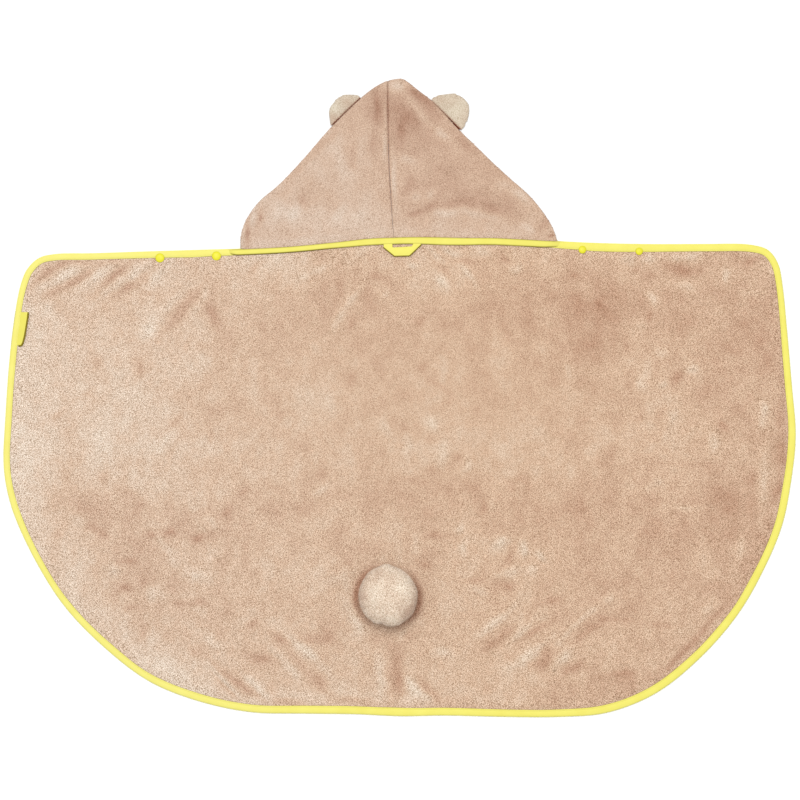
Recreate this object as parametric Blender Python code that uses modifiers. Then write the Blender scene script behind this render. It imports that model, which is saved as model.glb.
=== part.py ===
"""Child's hooded bath poncho, laid flat with its outer side up.

It is built as it is sewn: a D-shaped plush cape, a tape folded round its whole
edge, a hood of two sides joined down the back, two ears, a neck tape over the
hood's seam, a hanging loop, four press studs, a ribbon label and a stuffed tail.

Frame: metres, +Z up from the surface that it lies on, +Y towards the tip of
the hood, +X to the right. The origin is the middle of the outline's box, on
that surface. Every table below is in millimetres.
"""

from collections import namedtuple
from math import atan2, cos, degrees, exp, pi, radians, sin

import bmesh
import bpy
from mathutils import Vector

MM = 0.001
SPLINE_STEPS = 12  # straight steps in each span of a smooth curve
SEAM_GAP = 0.3  # between pieces that are sewn together

# ---------------------------------------------------------------- cape

Point = namedtuple("Point", "x y")
CAPE_EDGE = {
    "left side": ((-587, -168), (-598, -120), (-600, -85), (-598, -45), (-592, 45), (-584, 117), (-574, 171)),
    "left shoulder": ((-564, 195), (-546, 212), (-520, 218)),
    "left front edge": ((-469, 219), (-378, 222), (-278, 225), (-242, 226)),
    "neck": ((-166, 230), (-83, 238), (-7, 245), (76, 245), (160, 242), (231, 238)),
    "right front edge": ((289, 235), (372, 233), (455, 233), (531, 232)),
    "right shoulder": ((558, 224), (573, 204), (580, 171)),
    "right side": ((586, 112), (594, 21), (600, -58), (593, -126), (580, -191)),
    "right curve": ((554, -255), (513, -327), (455, -394), (387, -448), (313, -477)),
    "hem": ((243, -483), (160, -483), (69, -481), (1, -482), (-67, -479), (-151, -478), (-224, -476)),
    "left curve": ((-302, -460), (-378, -430), (-446, -379), (-508, -315), (-555, -240)),
}
CAPE_MIDDLE = Point(0, -120)
EDGE_STATIONS = 132
BEND_LENGTH = 120  # a radian of bend draws as many stations as this length of straight edge
CAPE_THICK = 4.0
CAPE_FLAT_RINGS = 16  # rings between the middle and the swell at the edge
RING_CROWDING = 1.5  # above 1, the rings are closer together towards the edge
CAPE_SWELL = 9.0  # from the tape's inner edge to the full thickness

# Low folds in the cape: bearing in degrees from +X, and a height below zero for a trough.
Fold = namedtuple("Fold", "x y bearing length width height")
CAPE_FOLDS = (
    Fold(-535, 196, 28, 90, 18, -0.9),
    Fold(-510, 184, 34, 90, 18, 0.9),
    Fold(-484, 178, 38, 120, 18, -1.1),
    Fold(-452, 180, 42, 100, 18, 0.8),
    Fold(-426, 168, 45, 90, 18, -0.8),
    Fold(-333, 137, 50, 110, 24, -0.7),
    Fold(-148, -381, -45, 110, 20, 0.9),
    Fold(-176, -400, -48, 90, 20, -0.7),
    Fold(-6, -430, 90, 120, 20, -1.0),
    Fold(-38, -436, 88, 90, 20, 0.6),
    Fold(142, -340, 42, 100, 22, 0.9),
    Fold(160, -362, 50, 90, 20, -0.8),
    Fold(188, -392, 50, 110, 22, 0.8),
    Fold(250, -404, 48, 100, 24, -0.7),
    Fold(-420, -250, 62, 200, 40, 0.6),
    Fold(330, -80, 20, 260, 46, 0.5),
)

# ---------------------------------------------------------------- tape round the edge

TapeWidth = namedtuple("TapeWidth", "bearing width")  # bearing about CAPE_MIDDLE
TAPE_WIDTHS = (
    TapeWidth(-180, 8.6),
    TapeWidth(-150, 10.4),
    TapeWidth(-120, 11.0),
    TapeWidth(-90, 12.2),
    TapeWidth(-62, 10.8),
    TapeWidth(-40, 12.1),
    TapeWidth(-15, 11.2),
    TapeWidth(5, 10.8),
    TapeWidth(20, 9.5),
    TapeWidth(35, 9.5),
    TapeWidth(50, 10.9),
    TapeWidth(56, 8.6),
    TapeWidth(127, 8.6),
    TapeWidth(132, 9.9),
    TapeWidth(150, 8.2),
    TapeWidth(180, 8.6),
)
TAPE_THICK = 1.0
BOUND_THICK = 1.8  # the cape, pressed between the tape's two legs
FOLD_DEPTH = 1.6  # from the tape's outer edge to the inside of its fold
CROWN = 0.35  # how far the tape's top leg swells over its fold

# ---------------------------------------------------------------- hood

HOOD_WALL = 3.0
HOOD_PRESSED = 1.2  # its neck edge, under the neck tape
LAYER_GAP = 0.4  # between the hood's back and the front turned under it
HOOD_LAP = 8.4  # how far the hood's neck edge lies over the cape
NECK_ROW = 1.6  # from the cape's edge to the first row that is clear of it
FRONT_CLEARANCE = 0.6  # between the cape's edge and the turned front's neck edge
HOOD_ROWS = 24
HOOD_BEND = 30  # a radian of bend draws as many rows as this length of straight outline
BACK_COLUMNS = 15
FRONT_COLUMNS = 4
FOLD_STEPS = 4
SEAM_DIP = 0.9
SEAM_REACH = 4.0
NECK_REACH = 12.0
HOOD_SAG = 45.0  # from the turned front's edge to where the back lies on the surface
HOOD_LIFT = 0.2  # under the hood's back where nothing lies beneath it

# Down the back, from the neck to the tip.
HOOD_SEAM = ((-9.0, 246.6), (-9.9, 256), (-13.4, 309), (-16.1, 357), (-17.2, 410), (-18.1, 459), (-17.6, 479.4))
HOOD_EDGES = {
    "hood_left": (
        (-241.4, 227), (-240, 249), (-233.5, 268), (-223, 285), (-211, 299.5), (-188, 318), (-161, 345),
        (-136, 373), (-105, 409), (-54, 458.5), (-36, 472), (-20.8, 479.6),
    ),
    "hood_right": (
        (238.5, 238.2), (233.5, 254.5), (223, 272.5), (210, 291), (194, 309), (173, 327), (143, 354.5),
        (115, 382), (92, 404), (46, 453), (28, 466), (14, 478), (5, 483.5), (-4, 483.5), (-14.4, 481.3),
    ),
}
Turned = namedtuple("Turned", "row share")  # share of each row that is turned under
HOOD_TURNED = (
    Turned(0.0, 0.05),
    Turned(0.15, 0.12),
    Turned(0.35, 0.27),
    Turned(0.5, 0.45),
    Turned(0.62, 0.75),
    Turned(0.7, 1.0),
    Turned(1.0, 1.0),
)
HOOD_FOLDS = (
    Fold(6, 424, 79, 70, 9, -1.2),
    Fold(26, 424, 74, 70, 12, 0.8),
    Fold(-60, 330, 60, 120, 26, 0.7),
    Fold(90, 290, -30, 140, 22, 0.7),
    Fold(-205, 262, 84, 60, 10, -0.8),
    Fold(206, 262, 96, 60, 10, -0.8),
)

# ---------------------------------------------------------------- ears

Ear = namedtuple("Ear", "side lower upper middle radius")  # lower and upper are heights on the hood's edge
EARS = {
    "ear_left": Ear("hood_left", 411.0, 455.5, Point(-79.6, 433.1), 28.2),
    "ear_right": Ear("hood_right", 405.0, 453.0, Point(76.1, 432.6), 28.9),
}
EAR_STEPS = 18
EAR_BASE_STEPS = 5
EAR_CLEARANCE = 0.8
EAR_PINCH = 14.0  # from the seam to where the ear is full
EAR_PINCHED = 3.2
EarRing = namedtuple("EarRing", "share height")
EAR_TOP = (EarRing(0.0, 7.2), EarRing(0.45, 7.0), EarRing(0.75, 6.5), EarRing(0.93, 5.2), EarRing(1.0, 3.2))
EAR_UNDER = (EarRing(0.96, 1.0), EarRing(0.86, 0.0))

# ---------------------------------------------------------------- neck tape and hanging loop

NECK_TAPE_ENDS = (-263, 264)
NECK_TAPE_SECTIONS = 26
NECK_TAPE_WIDTH = 9.4
NECK_TAPE_THICK = 1.3
NECK_TAPE_LIP = 1.0
NECK_TAPE_START = 0.4  # below the edge tape's outer edge
NECK_RAMP = 22.0  # from each end to where it lies on the hood

# Each corner of the loop's ribbon, as heights below the neck tape's lower edge.
LoopCorner = namedtuple("LoopCorner", "inner_x inner_drop outer_x outer_drop")
LOOP_CORNERS = (
    LoopCorner(-11.0, 0.3, -24.2, 0.3),
    LoopCorner(-10.6, 6.4, -24.0, 6.1),
    LoopCorner(-9.6, 7.4, -7.6, 20.2),
    LoopCorner(18.2, 6.5, 14.8, 20.3),
    LoopCorner(19.2, 5.6, 32.4, 3.8),
    LoopCorner(21.4, 0.3, 32.0, 0.3),
)
LOOP_THICK = 1.2

# ---------------------------------------------------------------- label, studs and tail

LabelRow = namedtuple("LabelRow", "y width lift")
LABEL_ROWS = (
    LabelRow(129.8, 11.2, 1.2),
    LabelRow(120.0, 11.8, 2.0),
    LabelRow(108.0, 11.5, 2.4),
    LabelRow(94.0, 11.0, 2.4),
    LabelRow(84.0, 9.6, 1.8),
    LabelRow(79.2, 7.6, 1.2),
)
LABEL_THICK = 1.0

STUDS = {
    "snap_left_outer": Point(-362.9, 211.9),
    "snap_left_inner": Point(-277.3, 214.9),
    "snap_right_inner": Point(276.9, 224.3),
    "snap_right_outer": Point(362.9, 221.9),
}
STUD_STEPS = 24
CAP_RADIUS = 6.8
CAP_BOTTOM = 5.0
CAP_HEIGHT = 1.8
POST_RADIUS = 2.0
FOOT_RADIUS = 5.8
FOOT_HEIGHT = 1.2
HOLE_CLEARANCE = 0.3

TAIL_MIDDLE = Point(-17.0, -299.4)
TailReach = namedtuple("TailReach", "bearing reach")
TAIL_OUTLINE = (
    TailReach(0, 43.8),
    TailReach(34, 43.6),
    TailReach(61, 45.2),
    TailReach(90, 47.4),
    TailReach(120, 47.5),
    TailReach(149, 44.2),
    TailReach(180, 44.1),
    TailReach(215, 44.3),
    TailReach(237, 46.9),
    TailReach(249, 46.1),
    TailReach(260, 44.6),
    TailReach(272, 47.5),
    TailReach(302, 47.2),
    TailReach(319, 46.5),
    TailReach(339, 44.2),
    TailReach(360, 43.8),
)
TAIL_HEIGHT = 62.0
TAIL_BASE_ANGLE = 32  # degrees up from its lowest point, where the ball is sewn down
TAIL_RINGS = 10
TAIL_STEPS = 32

# ---------------------------------------------------------------- colours

Finish = namedtuple("Finish", "colour roughness")
FINISHES = {
    "plush": Finish((0.60, 0.40, 0.28), 0.95),
    "pale plush": Finish((0.76, 0.63, 0.49), 0.95),
    "tape": Finish((0.96, 0.88, 0.17), 0.75),
    "plastic": Finish((0.94, 0.87, 0.05), 0.35),
}


# ================================================================ helpers


def smoothstep(value):
    value = min(max(value, 0.0), 1.0)
    return value * value * (3 - 2 * value)


def blend(start, end, share):
    return start + (end - start) * share


def interpolate(rows, key):
    """The second column of a table at this value of the first, in straight runs."""
    for (low, before), (high, after) in zip(rows, rows[1:]):
        if key <= high:
            return blend(before, after, max(key - low, 0.0) / (high - low))
    return rows[-1][1]


def spline(knots, closed=False):
    """A smooth curve through the knots, as points: a centripetal Catmull-Rom curve."""
    knots = [Vector(knot) for knot in knots]
    if closed:
        padded = [knots[-1], *knots, knots[0], knots[1]]
    else:
        padded = [2 * knots[0] - knots[1], *knots, 2 * knots[-1] - knots[-2]]
    points = []
    for four in zip(padded, padded[1:], padded[2:], padded[3:]):
        times = [0.0]
        for before, after in zip(four, four[1:]):
            times.append(times[-1] + (after - before).length ** 0.5)
        for step in range(SPLINE_STEPS):
            points.append(on_span(four, times, blend(times[1], times[2], step / SPLINE_STEPS)))
    return points if closed else [*points, knots[-1]]


def on_span(four, times, time):
    """The curve's point at this time, by the pyramid of straight blends between four knots."""
    level = list(four)
    for reach in (1, 2, 3):
        level = [
            level[i].lerp(level[i + 1], (time - start) / (end - start))
            for i, start, end in pyramid_times(times, reach)
        ]
    return level[0]


def pyramid_times(times, reach):
    """Each pair that a level of the pyramid blends, with the times between which it does."""
    if reach == 1:
        return [(i, times[i], times[i + 1]) for i in range(3)]
    if reach == 2:
        return [(i, times[i], times[i + 2]) for i in range(2)]
    return [(0, times[1], times[2])]


def resample(points, count, closed=False, bend_length=0.0):
    """As many points along a line, closer together where it bends if bend_length isn't 0."""
    line = [*points, points[0]] if closed else list(points)
    reach = [0.0]
    for i in range(1, len(line)):
        step = line[i] - line[i - 1]
        before = line[i - 1] - line[i - 2] if i > 1 else step
        turn = abs(step.angle_signed(before)) if step.length and before.length else 0.0
        reach.append(reach[-1] + step.length + bend_length * turn)
    spans = count if closed else count - 1
    found = []
    place = 0
    for number in range(count):
        target = reach[-1] * number / spans
        while place < len(line) - 2 and reach[place + 1] < target:
            place += 1
        share = (target - reach[place]) / (reach[place + 1] - reach[place])
        found.append(line[place].lerp(line[place + 1], share))
    return found


def inward_normals(loop):
    """A unit vector into the loop at each point; the loop runs clockwise seen from above."""
    normals = []
    for i, _ in enumerate(loop):
        along = (loop[(i + 1) % len(loop)] - loop[i - 1]).normalized()
        normals.append(Vector((along.y, -along.x)))
    return normals


def height_of_folds(folds, x, y):
    total = 0.0
    for fold in folds:
        turn = radians(fold.bearing)
        along = (x - fold.x) * cos(turn) + (y - fold.y) * sin(turn)
        across = (y - fold.y) * cos(turn) - (x - fold.x) * sin(turn)
        total += fold.height * exp(-((2 * along / fold.length) ** 2) - (across / fold.width) ** 2)
    return total


def loft(name, finish, rings, wrap=False, wall=False):
    """A closed solid through rings of points in millimetres. A ring of one point is a pole.
    The end rings are capped unless the last one joins the first. In a wall, each ring runs
    along one face and back along the other, and its caps are quads across the thickness."""
    mesh = bmesh.new()
    layers = [[mesh.verts.new(Vector(point) * MM) for point in ring] for ring in rings]
    pairs = list(zip(layers, layers[1:] + layers[:1])) if wrap else list(zip(layers, layers[1:]))
    for before, after in pairs:
        for i in range(max(len(before), len(after))):
            corners = []
            for layer, place in ((before, i), (before, i + 1), (after, i + 1), (after, i)):
                corner = layer[place % len(layer)]
                if corner not in corners:
                    corners.append(corner)
            mesh.faces.new(corners)
    for layer in () if wrap else (layers[0], layers[-1]):
        if wall:
            for i in range(len(layer) // 2 - 1):
                mesh.faces.new((layer[i], layer[i + 1], layer[-2 - i], layer[-1 - i]))
        elif len(layer) > 1:
            mesh.faces.new(layer)
    bmesh.ops.recalc_face_normals(mesh, faces=mesh.faces)
    return finished(name, finish, mesh)


def finished(name, finish, mesh):
    """Makes the object from a bmesh, with its material, in the poncho's collection."""
    data = bpy.data.meshes.new(name)
    mesh.to_mesh(data)
    mesh.free()
    data.shade_smooth()
    obj = bpy.data.objects.new(name, data)
    bpy.data.collections["hooded_bath_poncho"].objects.link(obj)
    data.materials.append(material(finish))
    return obj


def material(finish):
    if finish in bpy.data.materials:
        return bpy.data.materials[finish]
    made = bpy.data.materials.new(finish)
    made.use_nodes = True
    shader = made.node_tree.nodes["Principled BSDF"]
    shader.inputs["Base Color"].default_value = (*FINISHES[finish].colour, 1.0)
    shader.inputs["Roughness"].default_value = FINISHES[finish].roughness
    shader.inputs["Metallic"].default_value = 0.0
    return made


def start_scene():
    for obj in list(bpy.data.objects):
        bpy.data.objects.remove(obj)
    for name in ("hooded_bath_poncho", "cutters"):
        bpy.context.scene.collection.children.link(bpy.data.collections.new(name))


# ================================================================ cape and its tape

edge_curve = spline([knot for stretch in CAPE_EDGE.values() for knot in stretch], closed=True)
edge = resample(edge_curve, EDGE_STATIONS, closed=True, bend_length=BEND_LENGTH)
inward = inward_normals(edge)


def tape_width(place):
    return interpolate(TAPE_WIDTHS, degrees(atan2(place.y - CAPE_MIDDLE.y, place.x - CAPE_MIDDLE.x)))


def neck_line(x):
    """The height of the cape's upper edge at x."""
    upper = [point for point in edge_curve if point.y > CAPE_MIDDLE.y + 300]
    upper.sort(key=lambda point: point.x)
    return interpolate([(point.x, point.y) for point in upper], x)


bound_bottom = TAPE_THICK + SEAM_GAP
bound_top = bound_bottom + BOUND_THICK
tape_top = bound_top + SEAM_GAP + TAPE_THICK


def cape_top(x, y, past_tape):
    """The cape's upper face at a place this far in from the tape's inner edge."""
    full = smoothstep((past_tape - 1.0) / (CAPE_SWELL - 1.0))
    return blend(bound_top, CAPE_THICK + height_of_folds(CAPE_FOLDS, x, y), full)


def cape_ring(past_tape, height=None):
    ring = []
    for place, normal in zip(edge, inward):
        flat = place + normal * (tape_width(place) + past_tape)
        z = cape_top(flat.x, flat.y, past_tape) if height is None else height
        ring.append((flat.x, flat.y, z))
    return ring


def build_cape():
    swell = cape_ring(CAPE_SWELL)
    rings = [[(*CAPE_MIDDLE, cape_top(*CAPE_MIDDLE, CAPE_SWELL))]]
    for number in range(1, CAPE_FLAT_RINGS):
        share = 1 - (1 - number / CAPE_FLAT_RINGS) ** RING_CROWDING
        ring = []
        for x, y, _ in swell:
            x, y = blend(CAPE_MIDDLE.x, x, share), blend(CAPE_MIDDLE.y, y, share)
            ring.append((x, y, cape_top(x, y, CAPE_SWELL)))
        rings.append(ring)
    rings += [swell, cape_ring(CAPE_SWELL / 2), cape_ring(1.0)]
    raw = [place + normal * (FOLD_DEPTH + SEAM_GAP) for place, normal in zip(edge, inward)]
    rings.append([(place.x, place.y, bound_top) for place in raw])
    rings.append([(place.x, place.y, bound_bottom) for place in raw])
    rings += [cape_ring(1.0, bound_bottom), cape_ring(CAPE_SWELL / 2, 0.0)]
    return loft("cape_panel", "plush", rings)


def build_edge_tape():
    sections = []
    for place, normal in zip(edge, inward):
        width = tape_width(place)
        profile = (
            (width, tape_top),
            (3.0, tape_top + CROWN),
            (0.7, tape_top - 0.7),
            (0.0, tape_top / 2),
            (0.7, 0.6),
            (2.4, 0.0),
            (width, 0.0),
            (width, TAPE_THICK),
            (FOLD_DEPTH, TAPE_THICK),
            (FOLD_DEPTH, bound_top + SEAM_GAP),
            (width, bound_top + SEAM_GAP),
        )
        sections.append([(*(place + normal * inset), z) for inset, z in profile])
    return loft("edge_binding", "tape", sections, wrap=True)


# ================================================================ hood

hood_base = tape_top + CROWN + SEAM_GAP  # the hood's pressed neck edge lies on the tape


def row_ends(side, row):
    """The seam's and the outline's point on one row, from 0 at the neck to 1 at the tip."""
    return seam_points[row], outline_points[side][row]


seam_points = resample(spline(HOOD_SEAM), HOOD_ROWS + 1)
outline_points = {}
for side, knots in HOOD_EDGES.items():
    outline_points[side] = resample(spline(knots), HOOD_ROWS + 1, bend_length=HOOD_BEND)


def past_neck(x, y):
    return neck_line(x) - y


def hood_back_z(x, y, from_seam, past_front):
    """(underside, top) of the hood's back: on the front turned under it, sagging to the
    surface past that front's edge, and rising on to the cape's tape at the neck."""
    pressed = smoothstep((past_neck(x, y) + NECK_REACH) / (NECK_REACH - 1.0))
    sag = smoothstep(past_front / HOOD_SAG)
    under = blend(HOOD_WALL + LAYER_GAP, HOOD_LIFT, sag)
    under = blend(under, hood_base, pressed)
    wall = blend(HOOD_WALL, HOOD_PRESSED, pressed)
    folds = height_of_folds(HOOD_FOLDS, x, y) * (1 - pressed)
    dip = SEAM_DIP * (1 - smoothstep(from_seam / SEAM_REACH)) * (1 - pressed)
    return under, under + wall + folds - dip


def hood_section(side, row, lapped=False):
    """One closed section of a hood side: along the back, round the fold, under to the
    edge of the face opening, and back along the inside. The lapped one is the neck edge,
    which lies on the cape."""
    seam, outline = row_ends(side, row)
    toward = (outline - seam).normalized()
    length = (outline - seam).length
    turned = interpolate(HOOD_TURNED, row / HOOD_ROWS) * length
    curving = (1 - row / HOOD_ROWS) ** 3

    def flat(reach, lap=-FRONT_CLEARANCE):
        """The plan place at this reach from the seam. Rows near the neck follow its line."""
        place = seam + toward * reach
        at_neck = row_ends(side, 0)[0].lerp(row_ends(side, 0)[1], reach / length)
        place.y += (neck_line(at_neck.x) + NECK_ROW - at_neck.y) * curving
        place.y -= (lap + NECK_ROW) if lapped else 0.0
        return place

    def back(reach):
        unlapped = smoothstep((reach / length - 0.88) / 0.08)
        return flat(reach, blend(HOOD_LAP, -FRONT_CLEARANCE, unlapped))

    start = SEAM_GAP / 2
    crown = back(length)
    top = hood_back_z(crown.x, crown.y, length, 0.0)[1]
    radius = min(top / 2, length * 0.4)
    straight = length - radius
    reaches = [start, min(SEAM_REACH, straight * 0.3)]
    reaches += [blend(reaches[1], straight, i / (BACK_COLUMNS - 1)) for i in range(1, BACK_COLUMNS)]

    outside, inside = [], []
    for reach in reaches:
        place = back(reach)
        under, over = hood_back_z(place.x, place.y, reach, straight - turned - reach)
        outside.append((place.x, place.y, over))
        inside.append((place.x, place.y, under))
    hub_z = outside[-1][2] / 2
    inner = (inside[-1][2] - HOOD_WALL) / 2
    for step in range(1, FOLD_STEPS):
        turn = pi / 2 - pi * step / FOLD_STEPS
        rim = flat(straight + radius * cos(turn))
        heart = flat(straight + inner * cos(turn))
        outside.append((rim.x, rim.y, hub_z + hub_z * sin(turn)))
        inside.append((heart.x, heart.y, HOOD_WALL + inner + inner * sin(turn)))
    end = max(straight - turned, start)
    for step in range(FRONT_COLUMNS + 1):
        place = flat(blend(straight, end, step / FRONT_COLUMNS))
        outside.append((place.x, place.y, 0.0))
        inside.append((place.x, place.y, HOOD_WALL))
    return outside + inside[::-1]


def build_hood():
    for side in HOOD_EDGES:
        sections = [hood_section(side, 0, lapped=True)]
        sections += [hood_section(side, row) for row in range(HOOD_ROWS + 1)]
        loft(side, "plush", sections, wall=True)


def edge_at_height(side, y):
    """The hood's outline where it passes this height, on the straight run below the tip."""
    line = spline(HOOD_EDGES[side])
    for low, high in zip(line, line[1:]):
        if low.y <= y <= high.y:
            return low.lerp(high, (y - low.y) / (high.y - low.y))
    raise ValueError("that height is above the hood")


def build_ear(name):
    ear = EARS[name]
    middle = Vector(ear.middle)
    lower, upper = edge_at_height(ear.side, ear.lower), edge_at_height(ear.side, ear.upper)
    along = (upper - lower).normalized()
    outward = Vector((-along.y, along.x)) if lower.x < 0 else Vector((along.y, -along.x))
    lower, upper = lower + outward * EAR_CLEARANCE, upper + outward * EAR_CLEARANCE
    start, end = atan2(*(upper - middle).yx), atan2(*(lower - middle).yx)
    sweep = (end - start) % (2 * pi) if lower.x < 0 else -((start - end) % (2 * pi))
    loop = []
    for step in range(EAR_STEPS + 1):
        share = step / EAR_STEPS
        at_ends = blend((upper - middle).length, (lower - middle).length, share)
        reach = blend(at_ends, ear.radius, smoothstep(min(share, 1 - share) * 5))
        turn = start + sweep * share
        loop.append(middle + Vector((cos(turn), sin(turn))) * reach)
    for step in range(1, EAR_BASE_STEPS):
        loop.append(lower.lerp(upper, step / EAR_BASE_STEPS))
    hub = sum(loop, Vector((0, 0))) / len(loop)
    rings = []
    for ring in EAR_TOP + EAR_UNDER:
        points = []
        for place in loop:
            flat = hub.lerp(place, ring.share)
            pinch = 1 - smoothstep((flat - lower).dot(outward) / EAR_PINCH)
            points.append((flat.x, flat.y, blend(ring.height, min(ring.height, EAR_PINCHED), pinch)))
        rings.append(points if ring.share else points[:1])
    return loft(name, "pale plush", rings)


# ================================================================ neck tape, loop, label, studs, tail


def build_neck_tape():
    sections = []
    start, end = NECK_TAPE_ENDS
    for number in range(NECK_TAPE_SECTIONS + 1):
        x = blend(start, end, number / NECK_TAPE_SECTIONS)
        on_hood = smoothstep(min(x - start, end - x) / NECK_RAMP)
        base = hood_base + (HOOD_PRESSED + SEAM_GAP) * on_hood
        low = NECK_TAPE_START + NECK_TAPE_WIDTH
        profile = (
            (NECK_TAPE_START, base),
            (NECK_TAPE_START, base + NECK_TAPE_THICK * 0.7),
            (NECK_TAPE_START + 2, base + NECK_TAPE_THICK),
            (low - 2, base + NECK_TAPE_THICK),
            (low, base + NECK_TAPE_THICK * 0.5),
            (low, hood_base),
            (low - NECK_TAPE_LIP, hood_base),
            (low - NECK_TAPE_LIP, base),
        )
        y = neck_line(x)
        sections.append([(x, y - inset, z) for inset, z in profile])
    return loft("neck_binding", "tape", sections)


def build_loop():
    base = tape_top + CROWN + SEAM_GAP
    top = base + LOOP_THICK
    low = NECK_TAPE_START + NECK_TAPE_WIDTH
    sections = []
    for corner in LOOP_CORNERS:
        inner = (corner.inner_x, neck_line(corner.inner_x) - low - corner.inner_drop)
        outer = (corner.outer_x, neck_line(corner.outer_x) - low - corner.outer_drop)
        sections.append([(*inner, base), (*inner, top), (*outer, top), (*outer, base)])
    return loft("hanging_loop", "tape", sections)


def tape_inner_edge(y):
    """Where the tape's inner edge crosses this height, down the cape's left side."""
    inner = [place + normal * tape_width(place) for place, normal in zip(edge, inward)]
    side = sorted((place.y, place.x) for place in inner if place.x < -500)
    return interpolate(side, y)


def build_label():
    sections = []
    for row in LABEL_ROWS:
        root = tape_inner_edge(row.y) + SEAM_GAP
        section = []
        for share in (0.0, 0.35, 0.7, 1.0):
            past = SEAM_GAP + row.width * share
            under = cape_top(root + row.width * share, row.y, past) + SEAM_GAP
            section.append((root + row.width * share, row.y, under + row.lift * share**2))
        sections.append(section + [(x, y, z + LABEL_THICK) for x, y, z in section[::-1]])
    return loft("side_label", "tape", sections, wall=True)


def turned(name, finish, profile, place, collection="hooded_bath_poncho"):
    """A solid turned about a vertical axis from a profile of (radius, height), top first."""
    mesh = bpy.data.meshes.new(name)
    points = [(radius * MM, 0.0, height * MM) for radius, height in profile]
    mesh.from_pydata(points, [(i, i + 1) for i in range(len(points) - 1)], [])
    obj = bpy.data.objects.new(name, mesh)
    bpy.data.collections[collection].objects.link(obj)
    obj.location = (place.x * MM, place.y * MM, 0.0)
    screw = obj.modifiers.new("turn", "SCREW")
    screw.steps = screw.render_steps = STUD_STEPS
    screw.use_merge_vertices = True
    screw.merge_threshold = 0.00001
    screw.use_smooth_shade = True
    mesh.materials.append(material(finish))
    return obj


def build_studs(pierced):
    """Each stud has a cap on the outer side, a post through the cloth and a foot beneath it,
    and each pierced piece is cut round the post and the foot."""
    cap_top = CAP_BOTTOM + CAP_HEIGHT
    for name, place in STUDS.items():
        profile = (
            (0.0, cap_top),
            (CAP_RADIUS * 0.5, cap_top - 0.15),
            (CAP_RADIUS * 0.85, cap_top - 0.6),
            (CAP_RADIUS, CAP_BOTTOM + 0.5),
            (CAP_RADIUS - 0.2, CAP_BOTTOM),
            (POST_RADIUS, CAP_BOTTOM),
            (POST_RADIUS, FOOT_HEIGHT),
            (FOOT_RADIUS, FOOT_HEIGHT),
            (FOOT_RADIUS, 0.0),
            (0.0, 0.0),
        )
        turned(name, "plastic", profile, place)
        hole = POST_RADIUS + HOLE_CLEARANCE
        well = FOOT_RADIUS + HOLE_CLEARANCE
        cutter_profile = (
            (0.0, cap_top),
            (hole, cap_top),
            (hole, FOOT_HEIGHT + HOLE_CLEARANCE),
            (well, FOOT_HEIGHT + HOLE_CLEARANCE),
            (well, -1.0),
            (0.0, -1.0),
        )
        cutter = turned(name + "_cutter", "plastic", cutter_profile, place, "cutters")
        cutter.hide_render = True
        cutter.display_type = "WIRE"
        for piece in pierced:
            cut = piece.modifiers.new(name, "BOOLEAN")
            cut.operation = "DIFFERENCE"
            cut.object = cutter


def build_tail():
    base = cape_top(*TAIL_MIDDLE, CAPE_SWELL) + SEAM_GAP
    rings = []
    for number in range(TAIL_RINGS + 1):
        climb = radians(blend(TAIL_BASE_ANGLE, 180, number / TAIL_RINGS))
        start = radians(TAIL_BASE_ANGLE)
        z = base + TAIL_HEIGHT * (cos(start) - cos(climb)) / (cos(start) + 1)
        if number == TAIL_RINGS:
            rings.append([(*TAIL_MIDDLE, z)])
            continue
        ring = []
        for step in range(TAIL_STEPS):
            turn = 2 * pi * step / TAIL_STEPS
            reach = interpolate(TAIL_OUTLINE, degrees(turn)) * sin(climb)
            ring.append((TAIL_MIDDLE.x + reach * cos(turn), TAIL_MIDDLE.y + reach * sin(turn), z))
        rings.append(ring)
    return loft("tail", "pale plush", rings)


# ================================================================ the whole poncho


def build():
    start_scene()
    cape = build_cape()
    tape = build_edge_tape()
    build_hood()
    for name in EARS:
        build_ear(name)
    build_neck_tape()
    build_loop()
    build_label()
    build_studs([cape, tape])
    build_tail()


build()
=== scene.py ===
# %% [markdown]
# # Dressing a hooded bath poncho
#
# The imported model holds the poncho's pieces at their real size: a plush cape with a tape folded
# round it, a hood of two sides, two ears, a stuffed tail, a neck tape, a hanging loop, a label and
# four press studs. This lesson gives them their cloth, pile, sewing and light. Each piece made
# here lies where its solid lies, but for the few millimetres that sewing and stuffing add.
#
# The first cell loads the imported model. `cad_parts` holds its solids as Blender objects, in
# metres.

from collections import namedtuple
from math import cos, pi, radians, sin

import bmesh
import bpy
import numpy as np
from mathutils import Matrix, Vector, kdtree
from mathutils.geometry import delaunay_2d_cdt


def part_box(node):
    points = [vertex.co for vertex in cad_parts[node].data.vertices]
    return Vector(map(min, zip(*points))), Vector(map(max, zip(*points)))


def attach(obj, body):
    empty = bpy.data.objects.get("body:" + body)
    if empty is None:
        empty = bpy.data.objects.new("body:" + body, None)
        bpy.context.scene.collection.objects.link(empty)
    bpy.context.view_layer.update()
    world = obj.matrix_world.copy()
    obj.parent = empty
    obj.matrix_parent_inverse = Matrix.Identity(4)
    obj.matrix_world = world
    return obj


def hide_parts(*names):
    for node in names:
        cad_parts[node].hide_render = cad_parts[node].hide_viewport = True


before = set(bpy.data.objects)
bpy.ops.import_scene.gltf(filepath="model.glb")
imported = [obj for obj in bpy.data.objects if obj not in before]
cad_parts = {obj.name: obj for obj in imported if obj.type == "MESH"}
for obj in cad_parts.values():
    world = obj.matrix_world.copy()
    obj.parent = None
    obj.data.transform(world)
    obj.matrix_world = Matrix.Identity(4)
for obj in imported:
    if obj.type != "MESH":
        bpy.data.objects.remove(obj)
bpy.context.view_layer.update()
scene = bpy.context.scene
MM = 0.001
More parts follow.
